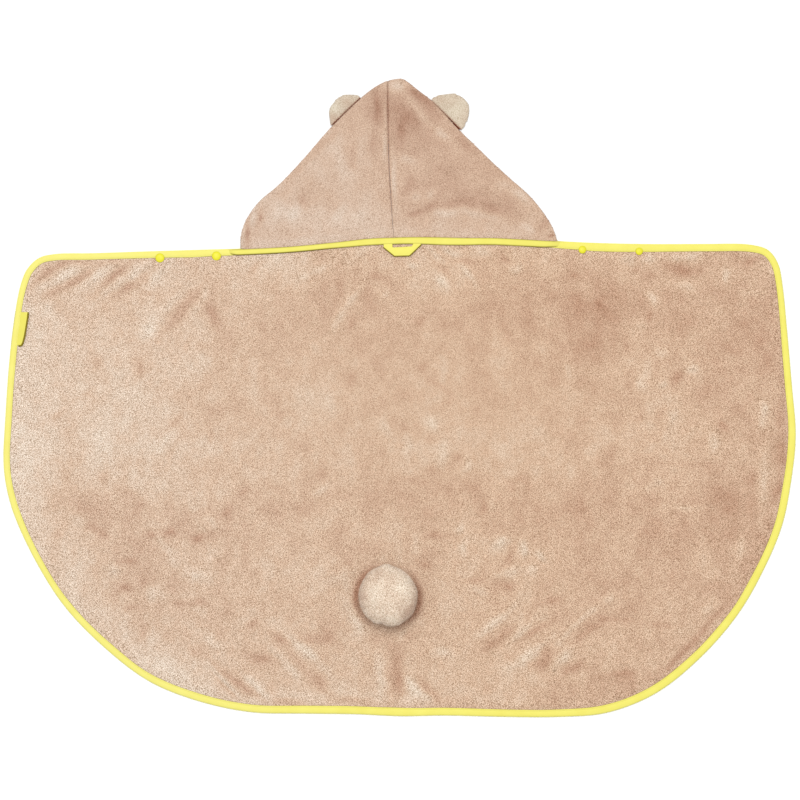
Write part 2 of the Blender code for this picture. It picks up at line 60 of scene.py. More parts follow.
print("solids:", ", ".join(sorted(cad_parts)))

# %% [markdown]
# ## Camera
#
# The poncho lies flat and is seen straight down. A lens that is close makes the stuffed tail,
# which stands 60 mm up, lean outwards. A long lens from far above keeps it where it is sewn, so
# the camera hangs ten metres up and its lens is chosen to take in a square a little wider than
# the cape.

# %% Camera
CAMERA_UP = 10.0
VIEW_SIDE = 1.2120
VIEW_MIDDLE = (0.68 * MM, -3.26 * MM)
SENSOR = 36.0

camera = bpy.data.objects.new("camera", bpy.data.cameras.new("camera"))
scene.collection.objects.link(camera)
camera.data.sensor_width = SENSOR
camera.data.lens = SENSOR * CAMERA_UP / VIEW_SIDE
camera.data.clip_end = 4 * CAMERA_UP
camera.location = (*VIEW_MIDDLE, CAMERA_UP)
scene.camera = camera
print(f"lens {camera.data.lens:.0f} mm")

# %% [markdown]
# ## Light and floor
#
# A hard lamp would draw a black line beside every tuft, and a sky alone would lose the creases.
# So a white sky gives most of the light, and one large soft lamp hangs nearly overhead, a little
# beyond the hood and to the left. That small lean is enough to give each crease a paler and a
# deeper side. A very large lamp is used instead of a sun because its shadows have no edge. The
# floor is a plain pale sheet, on which only the closest shadows show.

# %% Light and floor
SKY = 0.85
LAMP_WATTS = 480.0
LAMP_SIDE = 4.0
LAMP_PLACE = (-0.4, 1.1, 6.0)
FLOOR_SIDE = 30.0
FLOOR_DROP = 0.3 * MM

scene.view_settings.view_transform = "Standard"
world = bpy.data.worlds.new("sky")
world.use_nodes = True
world.node_tree.nodes["Background"].inputs["Color"].default_value = (1, 1, 1, 1)
world.node_tree.nodes["Background"].inputs["Strength"].default_value = SKY
scene.world = world

lamp = bpy.data.objects.new("soft_lamp", bpy.data.lights.new("soft_lamp", "AREA"))
scene.collection.objects.link(lamp)
lamp.data.energy = LAMP_WATTS
lamp.data.size = LAMP_SIDE
lamp.location = LAMP_PLACE
lamp.rotation_euler = (-lamp.location).to_track_quat("-Z", "Y").to_euler()
lamp.visible_camera = False


def put_in_scene(name, points, faces):
    """A new mesh object from points in millimetres and faces that index them."""
    mesh = bpy.data.meshes.new(name)
    mesh.from_pydata(np.asarray(points, float) * MM, [], faces)
    made = bpy.data.objects.new(name, mesh)
    scene.collection.objects.link(made)
    return made


half = FLOOR_SIDE / 2 / MM
corners = [(-half, -half), (half, -half), (half, half), (-half, half)]
floor = put_in_scene("floor", [(x, y, -FLOOR_DROP / MM) for x, y in corners], [(0, 1, 2, 3)])
print("floor and lamp in place")

# %% [markdown]
# ## Small tools for materials
#
# A screen colour has to be turned into the linear values that Blender's sockets take. `node` adds
# one node and wires or sets its inputs in a single call, which keeps each material short enough
# to read. `sums`, `blend` and `times` are its commonest uses, under names of their own, and
# `group` starts a node group, a set of nodes that several materials can share.

# %% Material tools
def screen(red, green, blue):
    """A screen colour, each channel 0 to 255, as linear values by the sRGB formula."""
    share = np.array([red, green, blue]) / 255
    linear = np.where(share <= 0.04045, share / 12.92, ((share + 0.055) / 1.055) ** 2.4)
    return (*linear.tolist(), 1.0)


def node(tree, kind, inputs=(), **settings):
    """Adds a node. Each of inputs is a socket to link from, or a value to set."""
    made = tree.nodes.new(kind)
    for name, value in settings.items():
        setattr(made, name, value)
    for name, value in dict(inputs).items():
        if isinstance(value, bpy.types.NodeSocket):
            tree.links.new(value, made.inputs[name])
        else:
            made.inputs[name].default_value = value
    return made


def sums(tree, operation, first, second=0.0, third=0.0):
    """One Math node's result."""
    return node(tree, "ShaderNodeMath", {0: first, 1: second, 2: third}, operation=operation).outputs[0]


def blend(tree, share, first, second):
    """A colour between two. A share below 0 or above 1 goes past them."""
    sockets = {0: share, 6: first, 7: second}
    return node(tree, "ShaderNodeMix", sockets, data_type="RGBA", clamp_factor=False).outputs[2]


def times(tree, first, second):
    """Two colours or vectors, multiplied channel by channel."""
    return node(tree, "ShaderNodeVectorMath", {0: first, 1: second}, operation="MULTIPLY").outputs[0]


def group(name, inputs, outputs):
    """An empty node group with named sockets. Gives the group, its inputs and its output node."""
    tree = bpy.data.node_groups.new(name, "ShaderNodeTree")
    for label, kind, value in inputs:
        socket = tree.interface.new_socket(label, in_out="INPUT", socket_type="NodeSocket" + kind)
        socket.default_value = value
    for label, kind in outputs:
        tree.interface.new_socket(label, in_out="OUTPUT", socket_type="NodeSocket" + kind)
    return tree, tree.nodes.new("NodeGroupInput").outputs, tree.nodes.new("NodeGroupOutput")


print("material tools ready")

# %% [markdown]
# ## Nap
#
# Plush is brushed cloth. Where the pile leans towards the light it looks paler, where it leans
# away it looks deeper and rosier, and a hand passed over it leaves soft patches. An image texture
# could be laid over every piece, but it would repeat, and it couldn't follow the creases. So three
# node groups work it out from the place on the cloth. *Mottle* gives a slow tone for the patches.
# *Tufts* gives the grain of single tufts: cells about a millimetre across, each brightest in its
# middle, and where the grain is deep it is warmer too, so the rim of each cell is grain and
# painted shade at once. *Nap colour* turns a tone into a colour between a deep, a middle and a
# pale one, and paints shade on what lies deep between the tufts.

# %% Node group: mottle
TONE_SPAN = 4.0  # Noise stays near 0.5, and this spreads it to about -1 to 1.
mottle, given, result = group("Mottle", [("Size", "Float", 0.03)], [("Tone", "Float")])
place = node(mottle, "ShaderNodeTexCoord").outputs["Object"]
scale = sums(mottle, "DIVIDE", 1.0, given["Size"])
blotch = node(
    mottle,
    "ShaderNodeTexNoise",
    {"Vector": place, "Scale": scale, "Detail": 2.0, "Roughness": 0.55},
)
tone = sums(mottle, "MULTIPLY_ADD", blotch.outputs[0], TONE_SPAN, -TONE_SPAN / 2)
mottle.links.new(tone, result.inputs["Tone"])
print("group:", mottle.name)

# %% Node group: tufts
TUFT_SIZE = 0.0013
TUFT_SHORTENED = 0.95  # y is read this much shorter, so the tufts are a little longer that way.
TUFT_MIDDLE = 0.495  # The mean distance in a cell: the grain leaves the cloth's mean colour alone.
CHANNEL_SWINGS = {"X": 0.85, "Y": 1.0, "Z": 1.17}  # Red, green and blue.
tuft_grain, given, result = group(
    "Tufts", [("Strength", "Float", 0.5)], [("Light", "Vector"), ("Height", "Float")]
)
place = node(tuft_grain, "ShaderNodeTexCoord").outputs["Object"]
combed = times(tuft_grain, place, (1.0, TUFT_SHORTENED, 1.0))
cells = node(tuft_grain, "ShaderNodeTexVoronoi", {"Vector": combed, "Scale": 1 / TUFT_SIZE})
# Each cell is paler in its middle and deeper at its rim: grain, and painted shade between tufts.
height = sums(tuft_grain, "SUBTRACT", TUFT_MIDDLE, cells.outputs["Distance"])
swing = sums(tuft_grain, "MULTIPLY", height, given["Strength"])
channels = {
    axis: sums(tuft_grain, "EXPONENT", sums(tuft_grain, "MULTIPLY", swing, share))
    for axis, share in CHANNEL_SWINGS.items()
}
light = node(tuft_grain, "ShaderNodeCombineXYZ", channels).outputs[0]
tuft_grain.links.new(light, result.inputs["Light"])
tuft_grain.links.new(height, result.inputs["Height"])
print("group:", tuft_grain.name)

# %% Node group: nap colour
TONE_LIMIT = 2.5
nap_colour, given, result = group(
    "Nap colour",
    [
        ("Deep", "Color", (0.5, 0.3, 0.2, 1)),
        ("Middle", "Color", (0.6, 0.4, 0.3, 1)),
        ("Pale", "Color", (0.7, 0.5, 0.4, 1)),
        ("Nap", "Float", 0.0),
        ("Mottle", "Float", 0.0),
        ("Depth", "Float", 1.0),
        ("Root shade", "Float", 0.5),
    ],
    [("Colour", "Color"), ("Tone", "Float")],
)
tone = sums(nap_colour, "ADD", given["Nap"], given["Mottle"])
tone = sums(nap_colour, "MINIMUM", sums(nap_colour, "MAXIMUM", tone, -TONE_LIMIT), TONE_LIMIT)
deeper = sums(nap_colour, "MAXIMUM", sums(nap_colour, "MULTIPLY", tone, -1.0), 0.0)
paler = sums(nap_colour, "MAXIMUM", tone, 0.0)
shaded = blend(nap_colour, deeper, given["Middle"], given["Deep"])
lit = blend(nap_colour, paler, shaded, given["Pale"])
shade = node(
    nap_colour,
    "ShaderNodeMapRange",
    {"Value": given["Depth"], "To Min": given["Root shade"]},
    clamp=False,
).outputs[0]
in_depth = node(
    nap_colour, "ShaderNodeVectorMath", {0: lit, "Scale": shade}, operation="SCALE"
).outputs[0]
nap_colour.links.new(in_depth, result.inputs["Colour"])
nap_colour.links.new(tone, result.inputs["Tone"])
print("group:", nap_colour.name)

# %% [markdown]
# ## What the materials read from the mesh
#
# A crease is in the mesh, and the material has to know of it. A painted texture could tell it, but
# numbers that the mesh carries for each of its points are simpler and stay sharp. `nap` is the
# tone set for that place, painted shade and light included, `depth` runs from 0 at a tuft's root
# to 1 at its tip and paints shade where it is low, `grain` says how strongly one tuft differs from
# the next, and `warm` how far the hue leans to warm, or below zero to cool. `mottled` and `raised`
# are the two other things that more than one material does: a value that wanders over the cloth,
# and a height that tilts the surface.

# %% Material parts
def carried(tree, name):
    """The number that the mesh carries under this name, or 0 where it carries none."""
    return node(tree, "ShaderNodeAttribute", attribute_name=name).outputs["Fac"]


def warmed(tree, colour, shares):
    """The colour, with each channel lowered by its share where the mesh's warm is 1."""
    warm = carried(tree, "warm")
    channels = [sums(tree, "MULTIPLY_ADD", warm, -share, 1.0) for share in shares]
    hue = node(tree, "ShaderNodeCombineXYZ", dict(enumerate(channels)))
    return times(tree, colour, hue.outputs[0])


def mottled(tree, size, swing, middle=0.0):
    """A value that wanders by about swing to each side of the middle, in spots of this size."""
    spots = node(tree, "ShaderNodeGroup", {"Size": size}, node_tree=mottle)
    return sums(tree, "MULTIPLY_ADD", spots.outputs["Tone"], swing, middle)


def raised(tree, shader, height, strength, distance):
    """Tilts the surface as a height from 0 to 1 would, if it stood this many metres up."""
    bump = node(tree, "ShaderNodeBump", {"Height": height, "Strength": strength, "Distance": distance})
    tree.links.new(bump.outputs[0], shader.inputs["Normal"])


def new_material(name, **plain):
    """A material with a Principled shader and its plain values, named as its sockets are with _
    for a space. Gives the material, its tree and the shader."""
    made = bpy.data.materials.new(name)
    made.use_nodes = True
    shader = made.node_tree.nodes["Principled BSDF"]
    for label, value in plain.items():
        shader.inputs[label.replace("_", " ")].default_value = value
    return made, made.node_tree, shader


print("material parts ready")

# %% [markdown]
# ## Four plushes
#
# The cape is a warm beige, the hood is the same cloth brushed a little deeper, the tail is a paler
# cream and the ears a greyer one. They are one kind of plush, so one function makes all four
# materials. Sheen stands for the fibre ends that catch light at a glancing angle. It is a plain
# value on the shader, as is everything that doesn't change over the cloth.

# %% Plush materials
PlushColours = namedtuple("PlushColours", "deep middle pale")
BEIGE = PlushColours(screen(174, 139, 115), screen(193, 164, 139), screen(203, 182, 161))
HOOD_BEIGE = PlushColours(screen(169, 136, 115), screen(189, 161, 139), screen(199, 178, 160))
CREAM = PlushColours(screen(170, 141, 120), screen(203, 182, 161), screen(216, 202, 183))
EAR_CREAM = PlushColours(screen(140, 110, 90), screen(171, 148, 128), screen(188, 175, 156))
PATCH_SIZE = 0.030
GRAIN = 1.7
PLUSH_WARM = (0.0, 0.03, 0.07)
ROOT_ROUGH, TIP_ROUGH = 1.0, 0.85
TUFT_BUMP, TUFT_RELIEF = 0.3, 0.0008


def plush(name, colours, mottling):
    """Reads nap, depth, grain and warm from the mesh."""
    material, tree, shader = new_material(
        name, Specular_IOR_Level=0.12, Sheen_Weight=0.15, Sheen_Roughness=0.5
    )
    depth = carried(tree, "depth")
    sockets = {"Deep": colours.deep, "Middle": colours.middle, "Pale": colours.pale, "Depth": depth}
    sockets["Nap"] = carried(tree, "nap")
    sockets["Mottle"] = mottled(tree, PATCH_SIZE, mottling)
    colour = node(tree, "ShaderNodeGroup", sockets, node_tree=nap_colour)
    strength = sums(tree, "MULTIPLY", carried(tree, "grain"), GRAIN)
    grained = node(tree, "ShaderNodeGroup", {"Strength": strength}, node_tree=tuft_grain)
    grainy = times(tree, colour.outputs["Colour"], grained.outputs["Light"])
    tree.links.new(warmed(tree, grainy, PLUSH_WARM), shader.inputs["Base Color"])
    rough = node(
        tree, "ShaderNodeMapRange", {"Value": depth, "To Min": ROOT_ROUGH, "To Max": TIP_ROUGH}
    )
    tree.links.new(rough.outputs[0], shader.inputs["Roughness"])
    raised(tree, shader, grained.outputs["Height"], TUFT_BUMP, TUFT_RELIEF)
    return material


beige_plush = plush("beige_plush", BEIGE, 0.25)
hood_plush = plush("hood_plush", HOOD_BEIGE, 0.25)
cream_plush = plush("cream_plush", CREAM, 0.15)
ear_plush = plush("ear_plush", EAR_CREAM, 0.15)
made = (beige_plush, hood_plush, cream_plush, ear_plush)
print("materials:", ", ".join(material.name for material in made))

# %% [markdown]
# ## Woven tape, thread and plastic
#
# The yellow tape, the loop and the label are one narrow woven ribbon with fine ribs across it.
# The ribs follow the ribbon, so each ribbon mesh gets a UV map called `run`, in metres: first
# along the ribbon, then across it. A small group turns that map into ribs and yarns. The thread
# is the same yellow and silkier, and the press studs are moulded plastic, a little scuffed, which
# a slowly changing roughness shows better than drawn scratches would.

# %% Node group: ribs
WAVE_SHARE = 0.25
ribs, given, result = group(
    "Ribs",
    [("Run", "Vector", (0, 0, 0)), ("Rib", "Float", 0.0009), ("Yarn", "Float", 0.0006)],
    [("Height", "Float")],
)
runs = node(ribs, "ShaderNodeSeparateXYZ", {0: given["Run"]})
waves = []
for along, pitch in (("X", "Rib"), ("Y", "Yarn")):
    turns = sums(ribs, "DIVIDE", runs.outputs[along], given[pitch])
    waves.append(sums(ribs, "SINE", sums(ribs, "MULTIPLY", turns, 2 * pi)))
crossed = sums(ribs, "MULTIPLY", *waves)
ribbed = sums(ribs, "MULTIPLY_ADD", waves[0], WAVE_SHARE, 0.5)
height = sums(ribs, "MULTIPLY_ADD", crossed, WAVE_SHARE, ribbed)
ribs.links.new(height, result.inputs["Height"])
print("group:", ribs.name)

# %% Tape materials
YELLOW = screen(190, 184, 92)
YELLOW_SHADE = screen(183, 174, 78)
LABEL_YELLOW = screen(184, 177, 83)
LABEL_SHADE = screen(179, 171, 74)
# The olive in which the shade of a tape's fold is painted.
FOLD_SHADE_OLIVE = screen(104, 90, 24)
TAPE_WARM = (0.0, 0.0, 0.30)
TAPE_SPOT, TAPE_SPOTS, TAPE_DULL, RIB_GROOVE_SHADE = 0.02, 0.25, 0.4, 0.2
RIB_BUMP, RIB_RELIEF = 0.3, 0.0002


def woven(name, bright, dull):
    """Ribbed cloth. `depth` on its mesh is 1 on the face and 0 in the shade of a fold: below 1 the
    fold's shade is painted in olive, and above 1 a highlight is painted. The rib grooves are painted
    a little duller, as shade.
    """
    material, tree, shader = new_material(name, Roughness=0.8, Specular_IOR_Level=0.05)
    run = node(tree, "ShaderNodeUVMap", uv_map="run").outputs[0]
    height = node(tree, "ShaderNodeGroup", {"Run": run}, node_tree=ribs).outputs["Height"]
    share = mottled(tree, TAPE_SPOT, TAPE_SPOTS, TAPE_DULL)
    # Where a rib is low the tape is duller: painted shade in the grooves.
    share = sums(tree, "MULTIPLY_ADD", height, -RIB_GROOVE_SHADE, share)
    shown = sums(tree, "MAXIMUM", carried(tree, "depth"), 0.0)
    cloth = blend(tree, shown, FOLD_SHADE_OLIVE, blend(tree, share, bright, dull))
    tree.links.new(warmed(tree, cloth, TAPE_WARM), shader.inputs["Base Color"])
    raised(tree, shader, height, RIB_BUMP, RIB_RELIEF)
    return material


tape_cloth = woven("yellow_tape", YELLOW, YELLOW_SHADE)
label_cloth = woven("label_tape", LABEL_YELLOW, LABEL_SHADE)
print("materials:", tape_cloth.name, label_cloth.name)

# %% Thread, plastic and floor materials
THREAD_YELLOW = screen(186, 179, 82)
THREAD_SPOT = 0.001
STUD_YELLOW = screen(184, 179, 33)
STUD_SHADE = screen(176, 169, 28)
SCUFF_SIZE, SCUFFS, STUD_ROUGH = 0.006, 0.05, 0.45
FLOOR_PALE = (0.62, 0.62, 0.62, 1)

thread, tree, shader = new_material("yellow_thread", Roughness=0.6)
dull = mottled(tree, THREAD_SPOT, 0.2, 0.4)
tree.links.new(blend(tree, dull, THREAD_YELLOW, YELLOW_SHADE), shader.inputs["Base Color"])

plastic, tree, shader = new_material("stud_plastic", Specular_IOR_Level=0.2)
tree.links.new(mottled(tree, SCUFF_SIZE, SCUFFS, STUD_ROUGH), shader.inputs["Roughness"])
cast = mottled(tree, SCUFF_SIZE, 0.25, 0.4)
tree.links.new(blend(tree, cast, STUD_YELLOW, STUD_SHADE), shader.inputs["Base Color"])

floor_white, tree, shader = new_material(
    "floor_white", Base_Color=FLOOR_PALE, Roughness=0.9, Specular_IOR_Level=0.0
)
floor.data.materials.append(floor_white)
print("materials:", ", ".join(material.name for material in (thread, plastic, floor_white)))

# %% [markdown]
# ## Creases, patches and soft hills
#
# The cloth's form and its tone are both sums of small things at places on the plan. A `Crease` is
# a soft trough or ridge, with painted shade in a trough and painted light on a ridge, a `Patch` is
# a place where the pile was brushed paler or deeper, though on the tail and in four of the hood's
# it is painted light and shade, and `Hills` are soft random ups and downs of one size. All three
# are rows in short tables, and a function adds each kind up. The random hills come from a seeded
# table of numbers, so each run gives the same cloth.

# %% Tools for the plan
Crease = namedtuple("Crease", "x y bearing length width height")
Patch = namedtuple("Patch", "x y wide high bearing tone")
Hills = namedtuple("Hills", "share wide high seed")
WANDER, WANDER_TURNS = 0.25, 5
LATTICE = 61


def ease(value):
    """0 below 0, 1 above 1, and a smooth step between."""
    value = np.clip(value, 0.0, 1.0)
    return value * value * (3 - 2 * value)


def turned(points, x, y, bearing):
    """Plan points as distances along and across a line through (x, y)."""
    turn = radians(bearing)
    right, up = points[:, 0] - x, points[:, 1] - y
    return right * cos(turn) + up * sin(turn), up * cos(turn) - right * sin(turn)


def creased(points, creases):
    """The height that the creases add at each plan point. A crease isn't quite straight."""
    total = np.zeros(len(points))
    for crease in creases:
        along, across = turned(points, crease.x, crease.y, crease.bearing)
        swerve = WANDER * np.sin(along / crease.length * WANDER_TURNS + crease.x)
        along, across = 2 * along / crease.length, across / crease.width + swerve
        total += crease.height * np.exp(-(along**2) - across**2)
    return total


def brushed(points, patches):
    """The tone that the patches add at each plan point."""
    total = np.zeros(len(points))
    for patch in patches:
        along, across = turned(points, patch.x, patch.y, patch.bearing)
        total += patch.tone * np.exp(-((along / patch.wide) ** 2) - (across / patch.high) ** 2)
    return total


def smooth_random(points, wide, high, seed):
    """Random hills and hollows from -1 to 1, each about wide by high millimetres."""
    lattice = np.random.default_rng(seed).uniform(-1, 1, (LATTICE, LATTICE))
    u, v = points[:, 0] / wide + LATTICE // 2, points[:, 1] / high + LATTICE // 2
    i, j = np.floor(u).astype(int), np.floor(v).astype(int)
    s, t = ease(u - i), ease(v - j)
    i, j, right, up = i % LATTICE, j % LATTICE, (i + 1) % LATTICE, (j + 1) % LATTICE
    low = lattice[i, j] * (1 - s) + lattice[right, j] * s
    high_side = lattice[i, up] * (1 - s) + lattice[right, up] * s
    return low * (1 - t) + high_side * t


def hilly(points, *rows):
    """Hills of several sizes, added up."""
    return sum(row.share * smooth_random(points, row.wide, row.high, row.seed) for row in rows)


print("tools for the plan ready")

# %% [markdown]
# ## Small tools for meshes
#
# Numbers about many points are quickest as numpy arrays, so a mesh's points are read and written
# as one. `dress` is the last step for every piece: it gives the mesh its material, says which
# body it moves with, and hides the solid it stands for.

# %% Mesh tools
WARM_REACH, GREYEST, WARMEST = 420.0, -0.8, 0.35
PLAN_SIDE = 1.3


def in_mm(mesh):
    """A mesh's points in millimetres."""
    points = np.empty(len(mesh.vertices) * 3)
    mesh.vertices.foreach_get("co", points)
    return points.reshape(-1, 3) / MM


def carry(mesh, name, values):
    """Stores one number for each point of the mesh, for the material to read."""
    made = mesh.attributes.new(name, "FLOAT", "POINT")
    made.data.foreach_set("value", np.asarray(values, np.float32))


def carry_nap(mesh, points, tone, depth, grain):
    """What the plush materials read. The pile looks greyer to the left and warmer to the right."""
    warm = np.clip(points[:, 0] / WARM_REACH, GREYEST, WARMEST)
    for name, values in (("nap", tone), ("depth", depth), ("grain", grain), ("warm", warm)):
        carry(mesh, name, np.broadcast_to(values, len(points)))


def map_corners(mesh, name, places):
    """A UV map from one place for each of the mesh's points."""
    corner = np.empty(len(mesh.loops), int)
    mesh.loops.foreach_get("vertex_index", corner)
    mesh.uv_layers.new(name=name).uv.foreach_set("vector", places[corner].ravel())


def map_in_plan(mesh):
    """A UV map straight down, in which the whole poncho fits in the unit square."""
    map_corners(mesh, "OFBake", in_mm(mesh)[:, :2] * MM / PLAN_SIDE + 0.5)


def dress(piece, material, replaced=(), smooth=True):
    """Gives a finished mesh its material and its body, and hides the nodes it stands for."""
    piece.data.materials.clear()
    piece.data.materials.append(material)
    piece.data.polygons.foreach_set("use_smooth", [smooth] * len(piece.data.polygons))
    piece.data.update()
    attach(piece, "root")
    if replaced:
        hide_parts(*replaced)
    print(f"{piece.name}: {sum(len(p.vertices) - 2 for p in piece.data.polygons)} triangles")
    return piece


print("mesh tools ready")

# %% [markdown]
# ## The cape's outline
#
# The cape's cloth, its pile, its tape and its stitches are all placed from its edge. The packed
# tape has 132 stations round it, each with a rim point half way up its rounded fold. Sorted by
# their bearing they are a coarse outline. A Catmull-Rom curve through them is smooth, and is cut
# into even 3 mm steps. Straight lines between them would be simpler, but their corners would show
# on the yellow tape.

# %% Outline
CAPE_MIDDLE = np.array([0.0, -120.0])
EDGE_STEP = 3.0
RIM_HEIGHT = 2.2
SAME_HEIGHT = 0.02
FINE_STEPS = 16
tape_solid = np.unique(in_mm(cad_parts["edge_binding"].data).round(3), axis=0)
rim = tape_solid[np.abs(tape_solid[:, 2] - RIM_HEIGHT) < SAME_HEIGHT][:, :2]
from_middle = rim - CAPE_MIDDLE
rim = rim[np.argsort(np.arctan2(from_middle[:, 1], from_middle[:, 0]))]


def looped(points):
    """The points, with the first one again at the end."""
    return np.vstack([points, points[:1]])


def run_along(path):
    """How far along the path each of its points lies."""
    steps = np.linalg.norm(np.diff(path, axis=0), axis=1)
    return np.concatenate([[0], np.cumsum(steps)])


def places_at(path, run, stations):
    """The path's places at these distances along it."""
    return np.stack([np.interp(stations, run, path[:, k]) for k in range(path.shape[1])], 1)


def smooth_loop(knots, step):
    """A closed Catmull-Rom curve through the knots, as points about a step apart."""
    before, after, beyond = (np.roll(knots, shift, 0) for shift in (1, -1, -2))
    fine = []
    for share in np.linspace(0, 1, FINE_STEPS, endpoint=False):
        pull = (after - before) * share
        bend = (2 * before - 5 * knots + 4 * after - beyond) * share**2
        twist = (3 * knots - before - 3 * after + beyond) * share**3
        fine.append(knots + 0.5 * (pull + bend + twist))
    fine = looped(np.stack(fine, 1).reshape(-1, 2))
    run = run_along(fine)
    stations = np.linspace(0, run[-1], round(run[-1] / step), endpoint=False)
    return places_at(fine, run, stations), run[-1]


edge, edge_length = smooth_loop(rim, EDGE_STEP)
count = len(edge)
ahead = np.roll(edge, -1, 0) - np.roll(edge, 1, 0)
inward = np.stack([-ahead[:, 1], ahead[:, 0]], 1) / np.linalg.norm(ahead, axis=1)[:, None]
edge_tree = kdtree.KDTree(count)
for number, (x, y) in enumerate(edge):
    edge_tree.insert((x, y, 0), number)
edge_tree.balance()
print(f"edge {edge_length:.0f} mm, {count} stations")

# %% [markdown]
# ## The tape's width
#
# The tape's inner edge is read from the same solid, so the tape made here is as wide as it is
# there. Sewn tape opens a little where the cloth under it is drawn up, which is along the top and
# down the left side, and most at the top right. The added width comes and goes over 90 mm.

# %% Tape width
TAPE_TOP = 4.4
INNER_FROM = 5.0
ABOVE_Y, FACING_DOWN = 200.0, -0.7
LEFT_OF_X, LEFT_ABOVE_Y, RIGHT_OF_X = -400.0, -220.0, 200.0
TOP_RIGHT_WIDER, WIDER = 1.4, 0.9
SPREAD_STATIONS = 15


def from_edge(points):
    """For each plan point, the nearest edge station and how far in from the edge it is."""
    station = np.array([edge_tree.find((x, y, 0))[1] for x, y in points[:, :2]])
    return station, ((points[:, :2] - edge[station]) * inward[station]).sum(1)


station, inset = from_edge(tape_solid)
inner = (np.abs(tape_solid[:, 2] - TAPE_TOP) < SAME_HEIGHT) & (inset > INNER_FROM)
tape_width = np.interp(np.arange(count), station[inner], inset[inner], period=count)
at_top = (edge[:, 1] > ABOVE_Y) & (inward[:, 1] < FACING_DOWN)
at_left = (edge[:, 0] < LEFT_OF_X) & (edge[:, 1] > LEFT_ABOVE_Y)
wider = np.where(at_top | at_left, WIDER, 0.0)
wider[at_top & (edge[:, 0] > RIGHT_OF_X)] = TOP_RIGHT_WIDER
shifts = range(-SPREAD_STATIONS, SPREAD_STATIONS + 1)
tape_width = tape_width + np.mean([np.roll(wider, shift) for shift in shifts], axis=0)
print(f"tape {tape_width.min():.1f} to {tape_width.max():.1f} mm wide")
